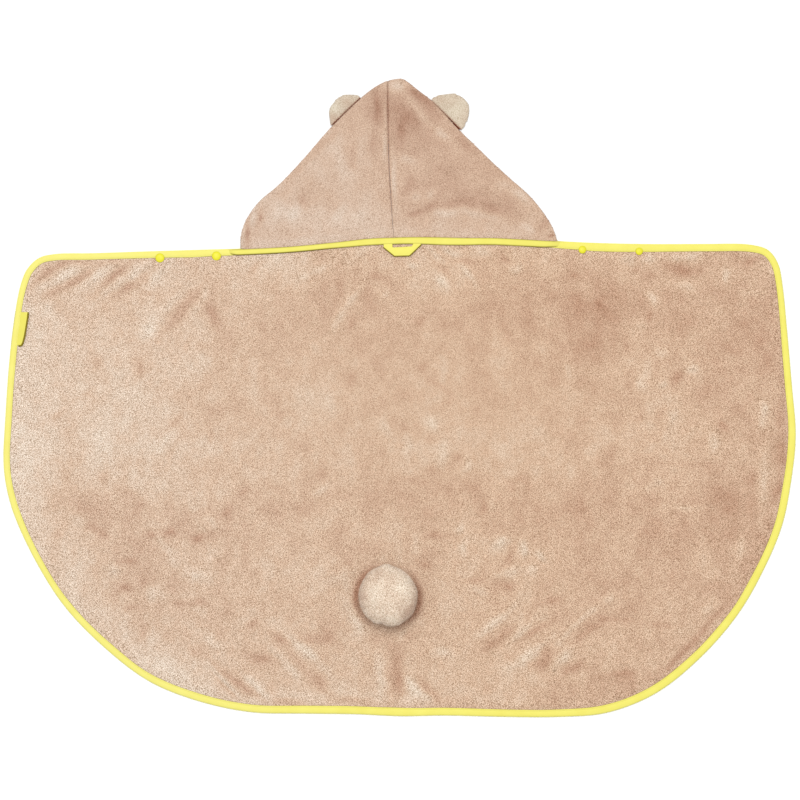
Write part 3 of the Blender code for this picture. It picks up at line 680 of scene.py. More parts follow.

# %% [markdown]
# ## Creases and brushed patches of the cape
#
# A laid cape isn't quite flat. The tape draws up its corners into short slanting troughs, the hem
# has one trough over its middle and slanting ridges to each side, and the cloth keeps the lines
# where it was folded. They could be simulated, but a simulation puts creases where it likes, so
# each one is listed: its middle, its bearing, its length and half width, and its height, below
# zero for a trough. The patches are placed in the same way, below zero for a deeper tone.

# %% Creases of the cape
CAPE_CREASES = (
    # top left corner
    (-530, 191, 34, 80, 6, -2.0), (-478, 205, 0, 50, 4, -1.2), (-505, 185, 22, 62, 8, 1.7),
    (-489, 179, 29, 105, 6, -2.1), (-460, 184, 35, 66, 9, 1.6), (-435, 181, 42, 68, 5, -2.0),
    (-414, 181, 36, 70, 8, 1.2), (-398, 178, 34, 66, 6, -0.9),
    (-402, 171, 28, 55, 6, -1.2), (-366, 185, 51, 50, 6, 1.0), (-383, 159, 0, 16, 4, -1.4),
    (-330, 132, 50, 75, 9, -1.7), (-340, 148, 46, 80, 7, 0.9), (-300, 152, 60, 60, 6, 0.9),
    (-283, 128, -47, 42, 9, -1.7), (-393, 44, 75, 26, 6, -1.6), (-455, 51, 40, 20, 6, -1.4),
    (-470, 7, 30, 20, 6, -1.1), (-527, -30, 34, 66, 5, -1.1), (-341, -39, 54, 38, 5, -1.7),
    (-216, 199, 36, 38, 5, -1.1), (-181, -27, 90, 26, 7, -1.0), (-375, 107, 0, 34, 10, 0.9),
    # middle, under the loop
    (-76, 143, 58, 95, 6, 1.5), (-72, 111, 50, 34, 7, -1.4), (-93, 158, 80, 40, 7, -1.0),
    (-123, 194, 24, 64, 5, 1.1), (-66, 214, 40, 36, 6, 1.0), (-33, 183, -10, 24, 6, -1.6),
    (19, 200, 0, 14, 4, 1.8), (-23, 158, 0, 18, 8, 1.0), (50, 221, -40, 36, 5, 1.7),
    (78, 221, -30, 36, 5, 1.5), (68, 193, -35, 32, 6, -1.9), (104, 187, -55, 46, 5, 1.6),
    (61, 177, -30, 30, 6, 1.5), (100, 207, 0, 40, 5, -1.7), (130, 220, -20, 24, 5, 1.3),
    (160, 210, -50, 18, 5, -1.3), (178, 196, 20, 22, 7, 1.5), (32, 118, 80, 20, 6, -1.0),
    (32, 46, 30, 18, 5, -1.1), (60, 18, -38, 60, 4, -0.9), (-72, 30, 60, 30, 8, -0.9),
    (50, -40, -30, 22, 8, 1.3), (8, -42, -30, 26, 9, -1.2), (-22, -45, -70, 40, 9, 0.9),
    (42, -64, -50, 24, 7, -1.1), (12, -78, 80, 30, 7, 1.0), (65, -88, 60, 40, 9, 1.1),
    (88, -89, 45, 18, 7, -1.5), (102, -105, 70, 20, 6, 1.6), (48, -110, 0, 22, 7, -1.1),
    (-121, -118, 0, 22, 8, -1.2), (-118, -138, 30, 34, 6, 1.3), (18, -124, -5, 60, 6, -0.9),
    (180, -126, 0, 28, 6, -1.1), (127, -164, 80, 22, 5, -1.3), (140, -163, 75, 34, 6, 1.1),
    # top right
    (343, 211, 0, 24, 6, 1.1), (376, 211, 0, 20, 6, 1.4), (430, 213, 0, 50, 5, 1.3),
    (355, 193, 0, 16, 6, -1.6), (428, 195, -4, 56, 9, -1.8), (383, 185, 0, 26, 7, -1.0),
    (262, 184, 0, 30, 5, -1.2), (533, 206, 35, 30, 6, -1.9), (495, 183, 90, 24, 5, 1.4),
    (438, 166, -30, 32, 9, 1.3), (381, 152, -70, 28, 7, 1.8), (365, 112, 20, 24, 8, 1.4),
    (378, 125, 80, 34, 5, -1.1), (302, 142, -30, 18, 5, -1.2), (535, 160, 0, 50, 4, 1.0),
    (398, 68, -20, 22, 8, 1.4), (343, 82, 80, 26, 5, -1.0), (420, 31, 60, 28, 9, -1.8),
    (444, 42, -20, 26, 8, 1.7), (386, 43, 80, 34, 6, -1.2), (366, 20, -40, 20, 7, 1.3),
    (398, 21, 0, 20, 5, 1.3), (255, 42, 90, 36, 6, 1.2), (320, -27, -20, 20, 6, -1.3),
    (395, -25, 70, 26, 5, -1.1), (370, -31, 0, 30, 6, -1.0), (415, -25, 80, 22, 5, 1.2),
    (490, -42, 0, 16, 6, -1.5), (475, -62, 85, 42, 9, 1.6), (435, -100, 0, 90, 4, -0.8),
    # right edge
    (553, -14, -50, 26, 7, 1.7), (548, -34, 80, 28, 7, 1.4), (558, -80, 82, 80, 8, 1.2),
    (549, -132, 90, 62, 8, 1.3), (535, -120, 70, 32, 9, -1.2), (578, -20, 90, 70, 7, -1.1),
    (580, -85, 85, 60, 6, -1.7), (572, -142, 80, 50, 7, -1.8), (516, -235, 88, 46, 5, 1.2),
    (434, -166, 0, 46, 5, 1.1), (467, -317, 40, 24, 8, 1.4), (462, -349, 47, 100, 5, -1.9),
    (418, -396, 40, 60, 5, -1.7), (380, -133, 25, 34, 7, 1.2), (325, -80, 45, 32, 9, -0.9),
    # lower right
    (144, -341, 42, 72, 6, 2.1), (146, -368, 38, 60, 7, -2.1), (183, -356, 45, 62, 5, 1.5),
    (204, -353, 28, 58, 5, -1.5), (225, -309, 16, 50, 5, -1.1), (202, -383, 37, 70, 6, 1.4),
    (216, -392, 43, 56, 7, -1.6), (246, -393, 48, 42, 8, 2.1), (264, -408, 40, 32, 7, -2.1),
    (275, -338, 41, 110, 5, 1.4), (316, -303, 20, 20, 8, 1.4), (279, -358, 33, 76, 5, -1.2),
    (335, -335, -7, 76, 4, -1.0), (403, -344, 0, 62, 4, -1.0), (332, -418, 10, 60, 6, -1.6),
    (155, -218, 30, 22, 7, 2.1), (188, -226, -60, 26, 6, 2.0), (166, -240, 60, 40, 6, -1.5),
    (213, -240, -40, 24, 6, 1.6), (202, -259, 0, 18, 7, 1.3), (157, -266, 20, 44, 6, 1.5),
    (165, -285, 0, 20, 6, -1.6), (98, -228, 80, 26, 6, 1.5), (92, -200, 0, 14, 6, 1.5),
    (55, -209, 0, 40, 6, -1.4), (110, -276, 0, 36, 5, -1.4), (120, -290, -10, 32, 6, 1.2),
    (42, -255, -20, 22, 6, -1.3), (185, -400, 20, 50, 7, 1.3), (220, -405, 60, 30, 7, -1.4),
    # middle of the hem
    (-4, -421, 88, 92, 9, -1.5), (-30, -424, 95, 84, 8, 1.5), (16, -431, -60, 44, 8, 1.4),
    (34, -447, -40, 44, 7, 1.3), (48, -447, -50, 40, 7, -1.9), (62, -385, 0, 32, 6, 1.5),
    (-65, -340, -60, 50, 7, 1.4), (-85, -267, 20, 40, 9, 1.0), (-122, -366, -4, 64, 11, -1.4),
    (-70, -458, 0, 52, 6, -1.8), (-170, -461, 0, 52, 6, -2.1), (3, -360, 55, 26, 5, 1.2),
    # lower left
    (-140, -385, -42, 72, 7, 2.1), (-178, -396, -60, 42, 6, 1.1), (-160, -415, -60, 42, 5, 1.2),
    (-153, -400, -55, 52, 5, -1.2), (-120, -432, -60, 32, 8, -1.7), (-182, -363, -20, 42, 6, -1.6),
    (-213, -393, -5, 36, 7, -2.0), (-232, -440, -32, 60, 6, -2.0), (-216, -438, -48, 72, 5, 1.5),
    (-268, -425, -48, 80, 4, 1.8), (-261, -440, -48, 60, 4, -1.4), (-275, -408, -42, 72, 7, -1.5),
    (-313, -383, -30, 26, 6, -1.5), (-280, -372, -50, 36, 7, 1.2), (-222, -343, 0, 20, 7, -1.9),
    (-303, -311, 0, 24, 6, -2.0), (-332, -309, 0, 40, 6, -1.2), (-385, -353, 60, 32, 7, -1.7),
    (-405, -317, 0, 26, 5, -1.4), (-416, -288, 0, 22, 7, -2.2), (-386, -280, 20, 18, 6, -1.2),
    (-432, -258, -20, 26, 9, 1.2), (-303, -270, 0, 30, 9, 1.3), (-365, -300, 0, 50, 10, 0.9),
    (-410, -248, 0, 26, 5, -1.2), (-262, -172, 30, 22, 8, -1.9), (-235, -142, 20, 26, 6, -1.1),
    (-282, -188, -40, 26, 7, 1.7), (-395, -165, 80, 40, 10, -1.2), (-376, -206, 0, 16, 6, -1.8),
    (-348, -204, -10, 20, 6, -2.0), (-305, -212, 10, 24, 7, -2.2), (-325, -185, 25, 60, 5, -1.1),
    (-466, -197, -10, 30, 6, -1.3), (-447, -209, 0, 16, 6, -1.6), (-516, -208, 0, 16, 6, -1.2),
    (-355, -225, -65, 50, 6, 1.2), (-391, -97, 0, 16, 6, -1.6), (-447, -120, 80, 22, 7, -1.3),
    (-340, -75, 65, 60, 5, -1.1), (-350, -55, 60, 50, 4, 1.0), (-287, -55, 90, 26, 5, -1.3),
)
CAPE_PATCHES = (
    (-400, 42, 190, 180, 0, 0.40), (-487, -321, 150, 70, -52, 0.35), (346, 141, 230, 56, 0, -0.34),
    (296, 153, 85, 34, 0, -0.22), (300, 80, 50, 38, 0, -0.20), (-120, 141, 110, 55, 0, -0.20),
    (-49, 153, 12, 42, 0, -0.20), (410, 20, 110, 110, 0, -0.25), (420, 88, 50, 62, 0, 0.22),
    (390, -26, 64, 53, 0, 0.20), (140, -226, 50, 19, 0, 0.35), (-136, -3, 62, 92, 0, 0.16),
    (152, -165, 330, 44, 0, -0.24), (493, -147, 38, 24, 0, -0.30), (561, -246, 80, 30, 62, -0.38),
    (-423, -173, 45, 42, 0, -0.26), (-401, -279, 24, 66, 0, -0.30), (-302, -193, 62, 38, 0, -0.18),
    (76, 190, 38, 19, 0, 0.18), (-520, 160, 60, 30, 30, -0.12), (0, -430, 10, 50, 0, -0.20),
    (520, 200, 70, 26, 0, -0.15), (560, 60, 22, 140, 4, -0.18), (-160, -300, 110, 90, 0, 0.12),
    (-580, -60, 55, 280, 0, 0.50), (-320, -440, 60, 24, -25, 0.50), (-40, -455, 230, 14, 0, 0.30),
    (575, 205, 26, 26, 0, 0.50), (400, -220, 170, 150, 0, -0.18), (490, 85, 60, 80, 0, -0.26),
    (-272, -34, 34, 34, 0, -0.20), (-365, -400, 50, 25, -38, 0.30), (-454, -60, 40, 50, 0, 0.28),
    (400, -120, 50, 50, 0, 0.20), (330, -440, 90, 22, 12, -0.35), (273, 50, 40, 50, 0, -0.22),
    (-215, 212, 70, 18, 3, 0.35), (-425, 205, 50, 30, 0, -0.16), (-385, 150, 60, 26, 0, -0.14),
    (-333, 88, 28, 26, 0, -0.22), (-211, 80, 28, 30, 0, -0.22), (-360, 27, 50, 26, 0, -0.14),
    (-185, 27, 50, 28, 0, -0.18), (-250, -34, 100, 26, 0, -0.16), (-90, -94, 30, 28, 0, 0.20),
    (-485, -155, 40, 26, 0, -0.16), (-300, -155, 50, 26, 0, 0.18), (-120, -276, 45, 26, 0, 0.14),
    (-454, -337, 28, 26, 0, 0.14), (-272, -337, 28, 26, 0, -0.18), (-151, -397, 26, 26, 0, 0.22),
    (31, -185, 28, 46, 0, 0.18), (213, -155, 28, 26, 0, 0.20), (360, 60, 50, 50, 0, 0.16),
    (240, 50, 46, 50, 0, -0.16), (152, 148, 28, 28, 0, -0.14), (365, -155, 46, 26, 0, 0.16),
    (500, -190, 90, 50, 0, -0.12), (570, -50, 20, 60, 0, -0.22), (273, -337, 28, 26, 0, -0.20),
    (-270, 60, 120, 110, 0, -0.12), (160, -85, 150, 40, 0, 0.12), (273, -276, 28, 26, 0, -0.20),
    (-91, -215, 28, 26, 0, -0.20), (-333, 148, 28, 26, 0, -0.12), (-576, 148, 16, 30, 0, 0.20),
    (576, 209, 14, 20, 0, 0.25), (515, -34, 26, 26, 0, -0.16), (-515, -155, 40, 26, 0, -0.16),
    (394, -458, 36, 16, 14, -0.25), (-240, -397, 30, 22, 0, -0.14), (-576, -215, 20, 30, 0, 0.14),
    (151, -458, 30, 14, 0, 0.15), (395, -458, 50, 16, 14, -0.2), (245, -458, 50, 16, 0, -0.2),
    (-30, -155, 34, 26, 0, -0.26), (-151, -155, 30, 26, 0, -0.12),
    (-333, -276, 30, 26, 0, -0.16), (576, 209, 12, 16, 0, 0.2), (-151, -458, 34, 12, 0, 0.2),
    (395, 148, 40, 30, 0, 0.08), (-30, 88, 60, 26, 0, -0.14), (395, -34, 60, 26, 0, 0.10),
)
CAPE_CREASES = [Crease(*row) for row in CAPE_CREASES]
CAPE_PATCHES = [Patch(*row) for row in CAPE_PATCHES]
print(len(CAPE_CREASES), "creases,", len(CAPE_PATCHES), "patches")

# %% [markdown]
# ## The cape's form and tone
#
# The cloth is pressed flat between the tape's legs, rises and swells a little just past the
# tape's inner edge, and then lies level but for its creases. Its tone goes with its form: a
# trough is painted deeper as shade, a ridge paler as light. Round the tail a ring of painted
# shadow lies on the cloth, darkest to its left and right. In the middle, where hands stroked the
# cape flat, one tuft differs least from the next.

# %% Cape form and tone
PRESSED_HEIGHT, CLOTH_TOP = 3.1, 3.25
RISE_FROM, RISE_WIDE = -0.5, 6.0
SWELL, SWELL_AT, SWELL_WIDE = 0.55, 8.0, 7.0
RELIEF = 1.1
CAPE_ROLLS = (Hills(0.18, 70, 55, 3), Hills(0.10, 24, 19, 4))
CAPE_STREAKS = (Hills(0.24, 38, 60, 11), Hills(0.20, 13, 19, 12), Hills(0.16, 6, 8, 13))
BRUSHED = 1.4
CREASE_SHADING, DEEPEST, PALEST = 0.5, -1.1, 1.0
TAIL_MIDDLE, TAIL_RADIUS = np.array([-18.0, -301.0]), 48.0
RING_SHADOW, RING_WIDE, RING_SHARE, RING_TURN = -1.5, 6.0, 0.2, 0.2
EDGE_GRAIN, CALMED = 1.15, 0.5
CALM_MIDDLE, CALM_REACH = np.array([40.0, 20.0]), np.array([270.0, 180.0])


def cape_top(points, past_tape):
    """The shell's upper face at plan points this far in from the tape's inner edge."""
    risen = ease((past_tape - RISE_FROM) / RISE_WIDE)
    swell = SWELL * np.exp(-(((past_tape - SWELL_AT) / SWELL_WIDE) ** 2))
    lying = CLOTH_TOP + swell + RELIEF * creased(points, CAPE_CREASES) + hilly(points, *CAPE_ROLLS)
    return PRESSED_HEIGHT * (1 - risen) + np.maximum(lying, PRESSED_HEIGHT) * risen


def crease_shading(points, creases):
    """Painted shade in a trough and painted light on a ridge."""
    return np.clip(CREASE_SHADING * creased(points, creases), DEEPEST, PALEST)


def tail_shadow_ring(points):
    """Painted shadow on the cloth round the tail, darkest to its left and right."""
    right, up = (points - TAIL_MIDDLE).T
    away = (np.hypot(right, up) - TAIL_RADIUS) / RING_WIDE
    beside = RING_SHARE + np.cos(np.arctan2(up, right) + RING_TURN) ** 2
    return RING_SHADOW * beside * np.exp(-(away**2))


def cape_tone(points):
    """How the pile was brushed at each place, from -1 for deep to 1 for pale, with the creases'
    painted shade and light and the painted shadow round the tail added.
    """
    brushing = BRUSHED * brushed(points, CAPE_PATCHES) + hilly(points, *CAPE_STREAKS)
    return brushing + crease_shading(points, CAPE_CREASES) + tail_shadow_ring(points)


def cape_grain(points):
    """How strongly one tuft differs from the next."""
    away = (points - CALM_MIDDLE) / CALM_REACH
    return EDGE_GRAIN - CALMED * np.exp(-(away**2).sum(1))


print("cape form ready")

# %% [markdown]
# ## The cape's shell
#
# The cape is one thin shell. The ring beside the tape is built from rows that follow the edge,
# because a plain grid would make steps there, and the rest is an even grid. A constrained
# Delaunay triangulation joins both without a seam. The pile stands on this shell, so the shell
# lies a little lower than the solid and the tips of the pile reach past it.

# %% Filling an outline
ROW_STEP = 0.87  # Of the spacing, so that neighbours form even triangles.


def row_at(inset):
    """The edge's stations moved in, by one distance or by one for each station."""
    return edge + inward * np.broadcast_to(inset, count)[:, None]


def grid_over(low, high, spacing):
    """Plan points in rows, every second row moved by half a step."""
    lines = np.arange(low[1], high[1], spacing * ROW_STEP)
    x, y = np.meshgrid(np.arange(low[0], high[0], spacing), lines)
    x = x + (np.arange(len(lines)) % 2)[:, None] * spacing / 2
    return np.column_stack([x.ravel(), y.ravel()])


def filled(rows, spacing, clear):
    """Plan points and triangles that fill the first row. The other rows' points are kept as
    well, then a grid whose points lie at least clear inside the last row."""
    grid = grid_over(edge.min(0), edge.max(0), spacing)
    station, inset = from_edge(grid)
    last_inset = ((rows[-1] - edge) * inward).sum(1)
    points = np.vstack([*rows, grid[inset > last_inset[station] + clear * spacing]])
    border = [(i, (i + 1) % count) for i in range(count)]
    found = delaunay_2d_cdt(points.tolist(), border, [], 1, 1e-4)
    kept = [sources[0] for sources in found[3]]
    return points[kept], [tuple(face) for face in found[2]]


print("filling ready")

# %% Cape shell
CAPE_GRID, CAPE_CLEAR = 4.6, 0.6
UNDER_GRID, UNDER_CLEAR = 34.0, 0.5
RAW_EDGE, RAW_EDGE_LOW = 2.2, 1.3
EDGE_ROWS = (-1.5, 0.4, 2.4, 5.0, 8.5)
LEG_END, UNDER_FROM = 0.8, 5.0
# The shell under the pile is painted in shade by its low depth.
CLOTH_SHADE_DEPTH = 0.35

rows = [row_at(RAW_EDGE)] + [row_at(tape_width + past) for past in EDGE_ROWS]
top_plan, top_faces = filled(rows, CAPE_GRID, CAPE_CLEAR)
station, inset = from_edge(top_plan)
top_height = cape_top(top_plan, inset - tape_width[station])
under_plan, under_faces = filled([row_at(tape_width + UNDER_FROM)], UNDER_GRID, UNDER_CLEAR)
levels = (
    (top_plan, top_height),
    (row_at(RAW_EDGE), RAW_EDGE_LOW),
    (row_at(tape_width + LEG_END), RAW_EDGE_LOW),
    (under_plan, 0.0),
)
parts = [np.column_stack([plan, np.broadcast_to(height, len(plan))]) for plan, height in levels]
starts = np.cumsum([0, *(len(part) for part in parts[:-1])]).tolist()
faces = list(top_faces)
for near, far in zip(starts, starts[1:]):
    for i in range(count):
        j = (i + 1) % count
        faces.append((near + j, near + i, far + i, far + j))
faces += [tuple(starts[-1] + corner for corner in face[::-1]) for face in under_faces]

cape = put_in_scene("cape_cloth", np.vstack(parts), faces)
all_plan = np.vstack(parts)[:, :2]
carry_nap(cape.data, all_plan, cape_tone(all_plan), CLOTH_SHADE_DEPTH, cape_grain(all_plan))
map_in_plan(cape.data)
dress(cape, beige_plush, ["cape_panel"])

# %% [markdown]
# ## Pile
#
# A bump map can't give plush its soft edge or the fine grain that shows from a step away, so the
# pile is real: more than a hundred thousand small tufts, each a leaning pyramid of three faces
# whose base is sunk in the cloth. Particle hair would be quicker to set up, but tufts built as a
# mesh keep their shape in any program. One function takes the roots, the way each tuft leans and
# its tone.

# %% Tufts
TuftSize = namedtuple("TuftSize", "base length rise spread contrast")
TUFT_SUNK = 0.5
TUFT_BACK, TUFT_FRONT = 0.9, 0.3
BASE_VARIES, LENGTH_VARIES, RISE_VARIES = 0.25, 0.3, 0.4
# Each tuft is painted in shade towards its root, by a low depth there.
CORNER_SHADE_DEPTHS = np.array([0.0, 0.4, 0.4, 1.0])  # The back, the two sides and the tip.
LIGHTEST = 1.7


def tufts(name, roots, normals, leaning, tones, size, seed, grain):
    """One mesh of tufts. leaning holds each one's unit direction, normals each one's way up."""
    random = np.random.default_rng(seed)
    many = len(roots)

    def varied(middle, share):
        return middle * random.uniform(1 - share, 1 + share, many)[:, None]

    swing = random.normal(0, size.spread, many)[:, None]
    leaning = leaning * np.cos(swing) + np.cross(normals, leaning) * np.sin(swing)
    side = np.cross(normals, leaning)
    base = varied(size.base, BASE_VARIES)
    length = varied(size.length, LENGTH_VARIES)
    rise = varied(size.rise, RISE_VARIES)
    sunk = roots - normals * TUFT_SUNK
    points = np.empty((many, 4, 3))
    points[:, 0] = sunk - leaning * base * TUFT_BACK
    points[:, 1] = sunk + side * base + leaning * base * TUFT_FRONT
    points[:, 2] = sunk - side * base + leaning * base * TUFT_FRONT
    points[:, 3] = roots + leaning * length + normals * rise
    points[:, :, 2] = np.maximum(points[:, :, 2], 0.0)
    corners = np.array([[0, 1, 3], [1, 2, 3], [2, 0, 3]])
    faces = (4 * np.arange(many)[:, None, None] + corners).reshape(-1, 3)
    points = points.reshape(-1, 3)
    pile = put_in_scene(name, points, faces)
    lightness = random.uniform(-LIGHTEST, LIGHTEST, many) * size.contrast * grain
    depth = (CORNER_SHADE_DEPTHS + lightness[:, None]).ravel()
    grain = np.repeat(np.broadcast_to(grain, many), 4)
    carry_nap(pile.data, points, np.repeat(tones, 4), depth, grain)
    map_in_plan(pile.data)
    return pile


print("tufts ready")

# %% [markdown]
# ## The cape's pile
#
# The roots come from an even grid, each shaken a little, so that no rows show. The pile runs down
# the cape and a little outwards at the right, in slow swirls. It is made in three pieces, left,
# middle and right, because one mesh of all the tufts would be too heavy to handle.

# %% Cape pile
CAPE_TUFT = TuftSize(base=0.75, length=2.7, rise=0.9, spread=0.45, contrast=0.12)
PILE_SPACING, PILE_SHAKEN = 2.3, 0.42
PILE_FROM = 0.6
DOWNWARD, RIGHT_TURN, TURNS_FROM, TURNS_WIDE = -87.0, 18.0, -150.0, 600.0
SLOW_SWIRL, QUICK_SWIRL = 0.45, 0.3


def shaken_grid(low, high, spacing, seed):
    """Plan points in rows, each point moved at random by less than half a step."""
    points = grid_over(low, high, spacing)
    random = np.random.default_rng(seed)
    return points + random.uniform(-PILE_SHAKEN, PILE_SHAKEN, points.shape) * spacing


def lying(points, bearing, seed):
    """The way the pile lies at each point: about this bearing, in slow swirls."""
    swirls = hilly(points, Hills(SLOW_SWIRL, 60, 70, seed), Hills(QUICK_SWIRL, 16, 20, seed + 1))
    turn = np.radians(bearing) + swirls
    return np.column_stack([np.cos(turn), np.sin(turn), np.zeros(len(points))])


roots = shaken_grid(edge.min(0), edge.max(0), PILE_SPACING, 21)
station, inset = from_edge(roots)
past_tape = inset - tape_width[station]
roots, past_tape = roots[past_tape > PILE_FROM], past_tape[past_tape > PILE_FROM]
bearing = DOWNWARD + RIGHT_TURN * ease((roots[:, 0] - TURNS_FROM) / TURNS_WIDE)
leaning = lying(roots, bearing, 22)
stood = np.column_stack([roots, cape_top(roots, past_tape)])
tones, grain = cape_tone(roots), cape_grain(roots)
upward = np.tile([0.0, 0.0, 1.0], (len(roots), 1))
thirds = np.array_split(np.argsort(roots[:, 0]), 3)
for seed, part, place in zip((24, 25, 26), thirds, ("left", "middle", "right")):
    at_part = (stood[part], upward[part], leaning[part], tones[part])
    pile = tufts("cape_pile_" + place, *at_part, CAPE_TUFT, seed, grain[part])
    dress(pile, beige_plush, smooth=False)

# %% [markdown]
# ## Sweeping a section
#
# A tape has nearly the same section all along, so the section is drawn once and swept along a
# line. A curve object with a bevel could do it, but its section can't change on the way. Here a
# section is a short table of places, each measured partly as a share of the tape's width and
# partly in millimetres, with the light painted at it: 1 on the open face, less for painted shade
# inside a fold, and more than 1 for a painted highlight on the rim.

# %% Sweep
TapePlace = namedtuple("TapePlace", "share inset height light")
WAVER_WIDE, WAVER_HIGH, PLACE_APART = 16, 9, 7.0


def waver(run, number, seed):
    """A slow unevenness along the run, different for each numbered place of a section."""
    places = np.column_stack([run, np.full(len(run), PLACE_APART * number)])
    return smooth_random(places, WAVER_WIDE, WAVER_HIGH, seed)


def swept(name, sections, light, closed):
    """A tube of quads through sections, an array of stations, places and points, with the light
    at each of them. Its map `run` holds the distance along it and round it, in metres."""
    many, places = sections.shape[:2]
    along = run_along(looped(sections.mean(1))) * MM
    across = run_along(looped(sections[0])) * MM
    faces, run = [], []
    for i in range(many if closed else many - 1):
        near, far = i * places, (i + 1) % many * places
        for j in range(places):
            k = (j + 1) % places
            faces.append((near + j, far + j, far + k, near + k))
            for u, v in ((i, j), (i + 1, j), (i + 1, j + 1), (i, j + 1)):
                run.append((along[u], across[v]))
    if not closed:
        faces += [tuple(range(places)), tuple(range(many * places - 1, (many - 1) * places - 1, -1))]
        run += [(0.0, across[j]) for j in range(places)]
        run += [(along[many - 1], across[j]) for j in range(places - 1, -1, -1)]
    made = put_in_scene(name, sections.reshape(-1, 3), faces)
    made.data.uv_layers.new(name="run").uv.foreach_set("vector", np.ravel(run))
    carry(made.data, "depth", np.broadcast_to(light, (many, places)).ravel())
    return made


print("sweep ready")

# %% [markdown]
# ## Tape round the edge
#
# The tape is folded over the cape's raw edge and sewn through both legs. Its two legs, its rounded
# fold and the shallow groove under the stitches are all in the section. Sewing by hand and by
# machine both leave it a little uneven, so its width and height waver, except where the loop
# closes. The label covers the tape's inner edge, and no fold's shade shows there.

# %% Edge tape
# Each place's light is painted: below 1 the shade of the fold and of the underside, above 1 a highlight
# on the rim.
TAPE_SECTION = (
    TapePlace(1.0, 0.45, 3.7, 0.9),
    TapePlace(1.0, -0.2, 4.30, 1.0),
    TapePlace(1.0, -1.0, 4.42, 1.0),
    TapePlace(1.0, -1.6, 4.20, 0.9),
    TapePlace(1.0, -2.3, 4.52, 1.0),
    TapePlace(0.6, 0.0, 4.80, 1.0),
    TapePlace(0.0, 2.4, 4.72, 1.0),
    TapePlace(0.0, 1.2, 4.25, 1.0),
    TapePlace(0.0, 0.35, 3.3, 1.3),
    TapePlace(0.0, 0.0, 2.2, 1.8),
    TapePlace(0.0, 0.35, 1.1, 1.8),
    TapePlace(0.0, 1.1, 0.3, 1.2),
    TapePlace(0.0, 2.4, 0.0, 0.6),
    TapePlace(1.0, -0.3, 0.0, 0.6),
    TapePlace(1.0, 0.0, 0.5, 0.5),
    TapePlace(1.0, -0.4, 1.0, 0.4),
    TapePlace(0.0, 2.0, 1.0, 0.3),
    TapePlace(0.0, 1.6, 2.2, 0.3),
    TapePlace(0.0, 2.0, 3.4, 0.3),
    TapePlace(1.0, -0.4, 3.4, 0.2),
)
WIDTH_WAVERS, HEIGHT_WAVERS, WAVERS_ABOVE = 0.35, 0.12, 4.2
FADE_STATIONS = 30
LABEL_MIDDLE, LABEL_HALF = 104.5, 26.0

edge_run = np.arange(count) * EDGE_STEP
fade = np.minimum(1, np.minimum(np.arange(count), count - np.arange(count)) / FADE_STATIONS)
flat_run = np.column_stack([edge_run, np.zeros(count)])
width = tape_width + hilly(flat_run, Hills(WIDTH_WAVERS, 45, 45, 31)) * fade
sections = np.empty((count, len(TAPE_SECTION), 3))
for number, place in enumerate(TAPE_SECTION):
    sections[:, number, :2] = row_at(place.share * width + place.inset)
    sections[:, number, 2] = place.height
    if place.height > WAVERS_ABOVE:
        sections[:, number, 2] += HEIGHT_WAVERS * waver(edge_run, number, 32) * fade
light = np.tile([place.light for place in TAPE_SECTION], (count, 1))
light[(edge[:, 0] < 0) & (np.abs(edge[:, 1] - LABEL_MIDDLE) < LABEL_HALF)] = 1.0
edge_tape = swept("edge_tape", sections, light, closed=True)
paler_left = np.clip(edge[:, 0] / WARM_REACH, GREYEST, 0)
carry(edge_tape.data, "warm", np.repeat(paler_left, len(TAPE_SECTION)))
dress(edge_tape, tape_cloth, ["edge_binding"])

# %% [markdown]
# ## Stitches
#
# A row of stitches holds the tape's two legs together. A texture of thread would lie flat, so
# each stitch is a short rod of four rings, whose ends are pulled down into the tape.

# %% Stitches
STITCH, STITCH_GAP, STITCH_WIDE, STITCH_HIGH = 3.4, 1.1, 0.62, 0.38
STITCH_IN, STITCH_ON = 1.6, 4.22
StitchRing = namedtuple("StitchRing", "along lift")
STITCH_RINGS = (StitchRing(0.0, 0.15), StitchRing(0.2, 1.0), StitchRing(0.8, 1.0), StitchRing(1.0, 0.15))
FOOT_SUNK, FACE_SHARE = 0.6, 0.6


def stitch_points(near, far):
    """The rings of one stitch between two places, four corners each."""
    ahead = (far - near) / STITCH
    side = np.array([-ahead[1], ahead[0], 0.0]) * STITCH_WIDE / 2
    up = np.array([0, 0, STITCH_HIGH])
    points = []
    for ring in STITCH_RINGS:
        middle = near + (far - near) * ring.along
        foot, face = middle - up * FOOT_SUNK, middle + up * ring.lift
        points += [foot - side, face - side * FACE_SHARE, face + side * FACE_SHARE, foot + side]
    return points


def stitched(name, path):
    """Stitches along a path, an array of points on the cloth's surface."""
    run = run_along(path)
    points, faces = [], []
    for start in np.arange(0, run[-1] - STITCH, STITCH + STITCH_GAP):
        first = len(points)
        points += stitch_points(*places_at(path, run, (start, start + STITCH)))
        for ring in range(first, first + 12, 4):
            for k in range(4):
                a, b = ring + k, ring + (k + 1) % 4
                faces.append((b, a, a + 4, b + 4))
        faces += [tuple(range(first, first + 4)), tuple(range(first + 15, first + 11, -1))]
    made = put_in_scene(name, points, faces)
    map_in_plan(made.data)
    return dress(made, thread)


on_tape = np.column_stack([row_at(width - STITCH_IN), np.full(count, STITCH_ON)])
edge_stitches = stitched("edge_stitches", looped(on_tape))

# %% [markdown]
# ## Finer copies of small solids
#
# The hood, the ears, the tail, the loop and the label already have their true form in the packed
# model, only coarsely. Their finer mesh starts as a copy: equal corners are welded, triangles are
# paired into quads, and a Subdivision Surface rounds the result. Edges that are sharp on the
# solid get a crease, or they would shrink away. The loop and the label aren't subdivided. Their
# edges are bevelled instead, further on.

# %% Finer copies
WELD = 0.01 * MM
PAIR_FLATNESS, PAIR_SQUARENESS, SHARP = radians(40), radians(60), radians(50)


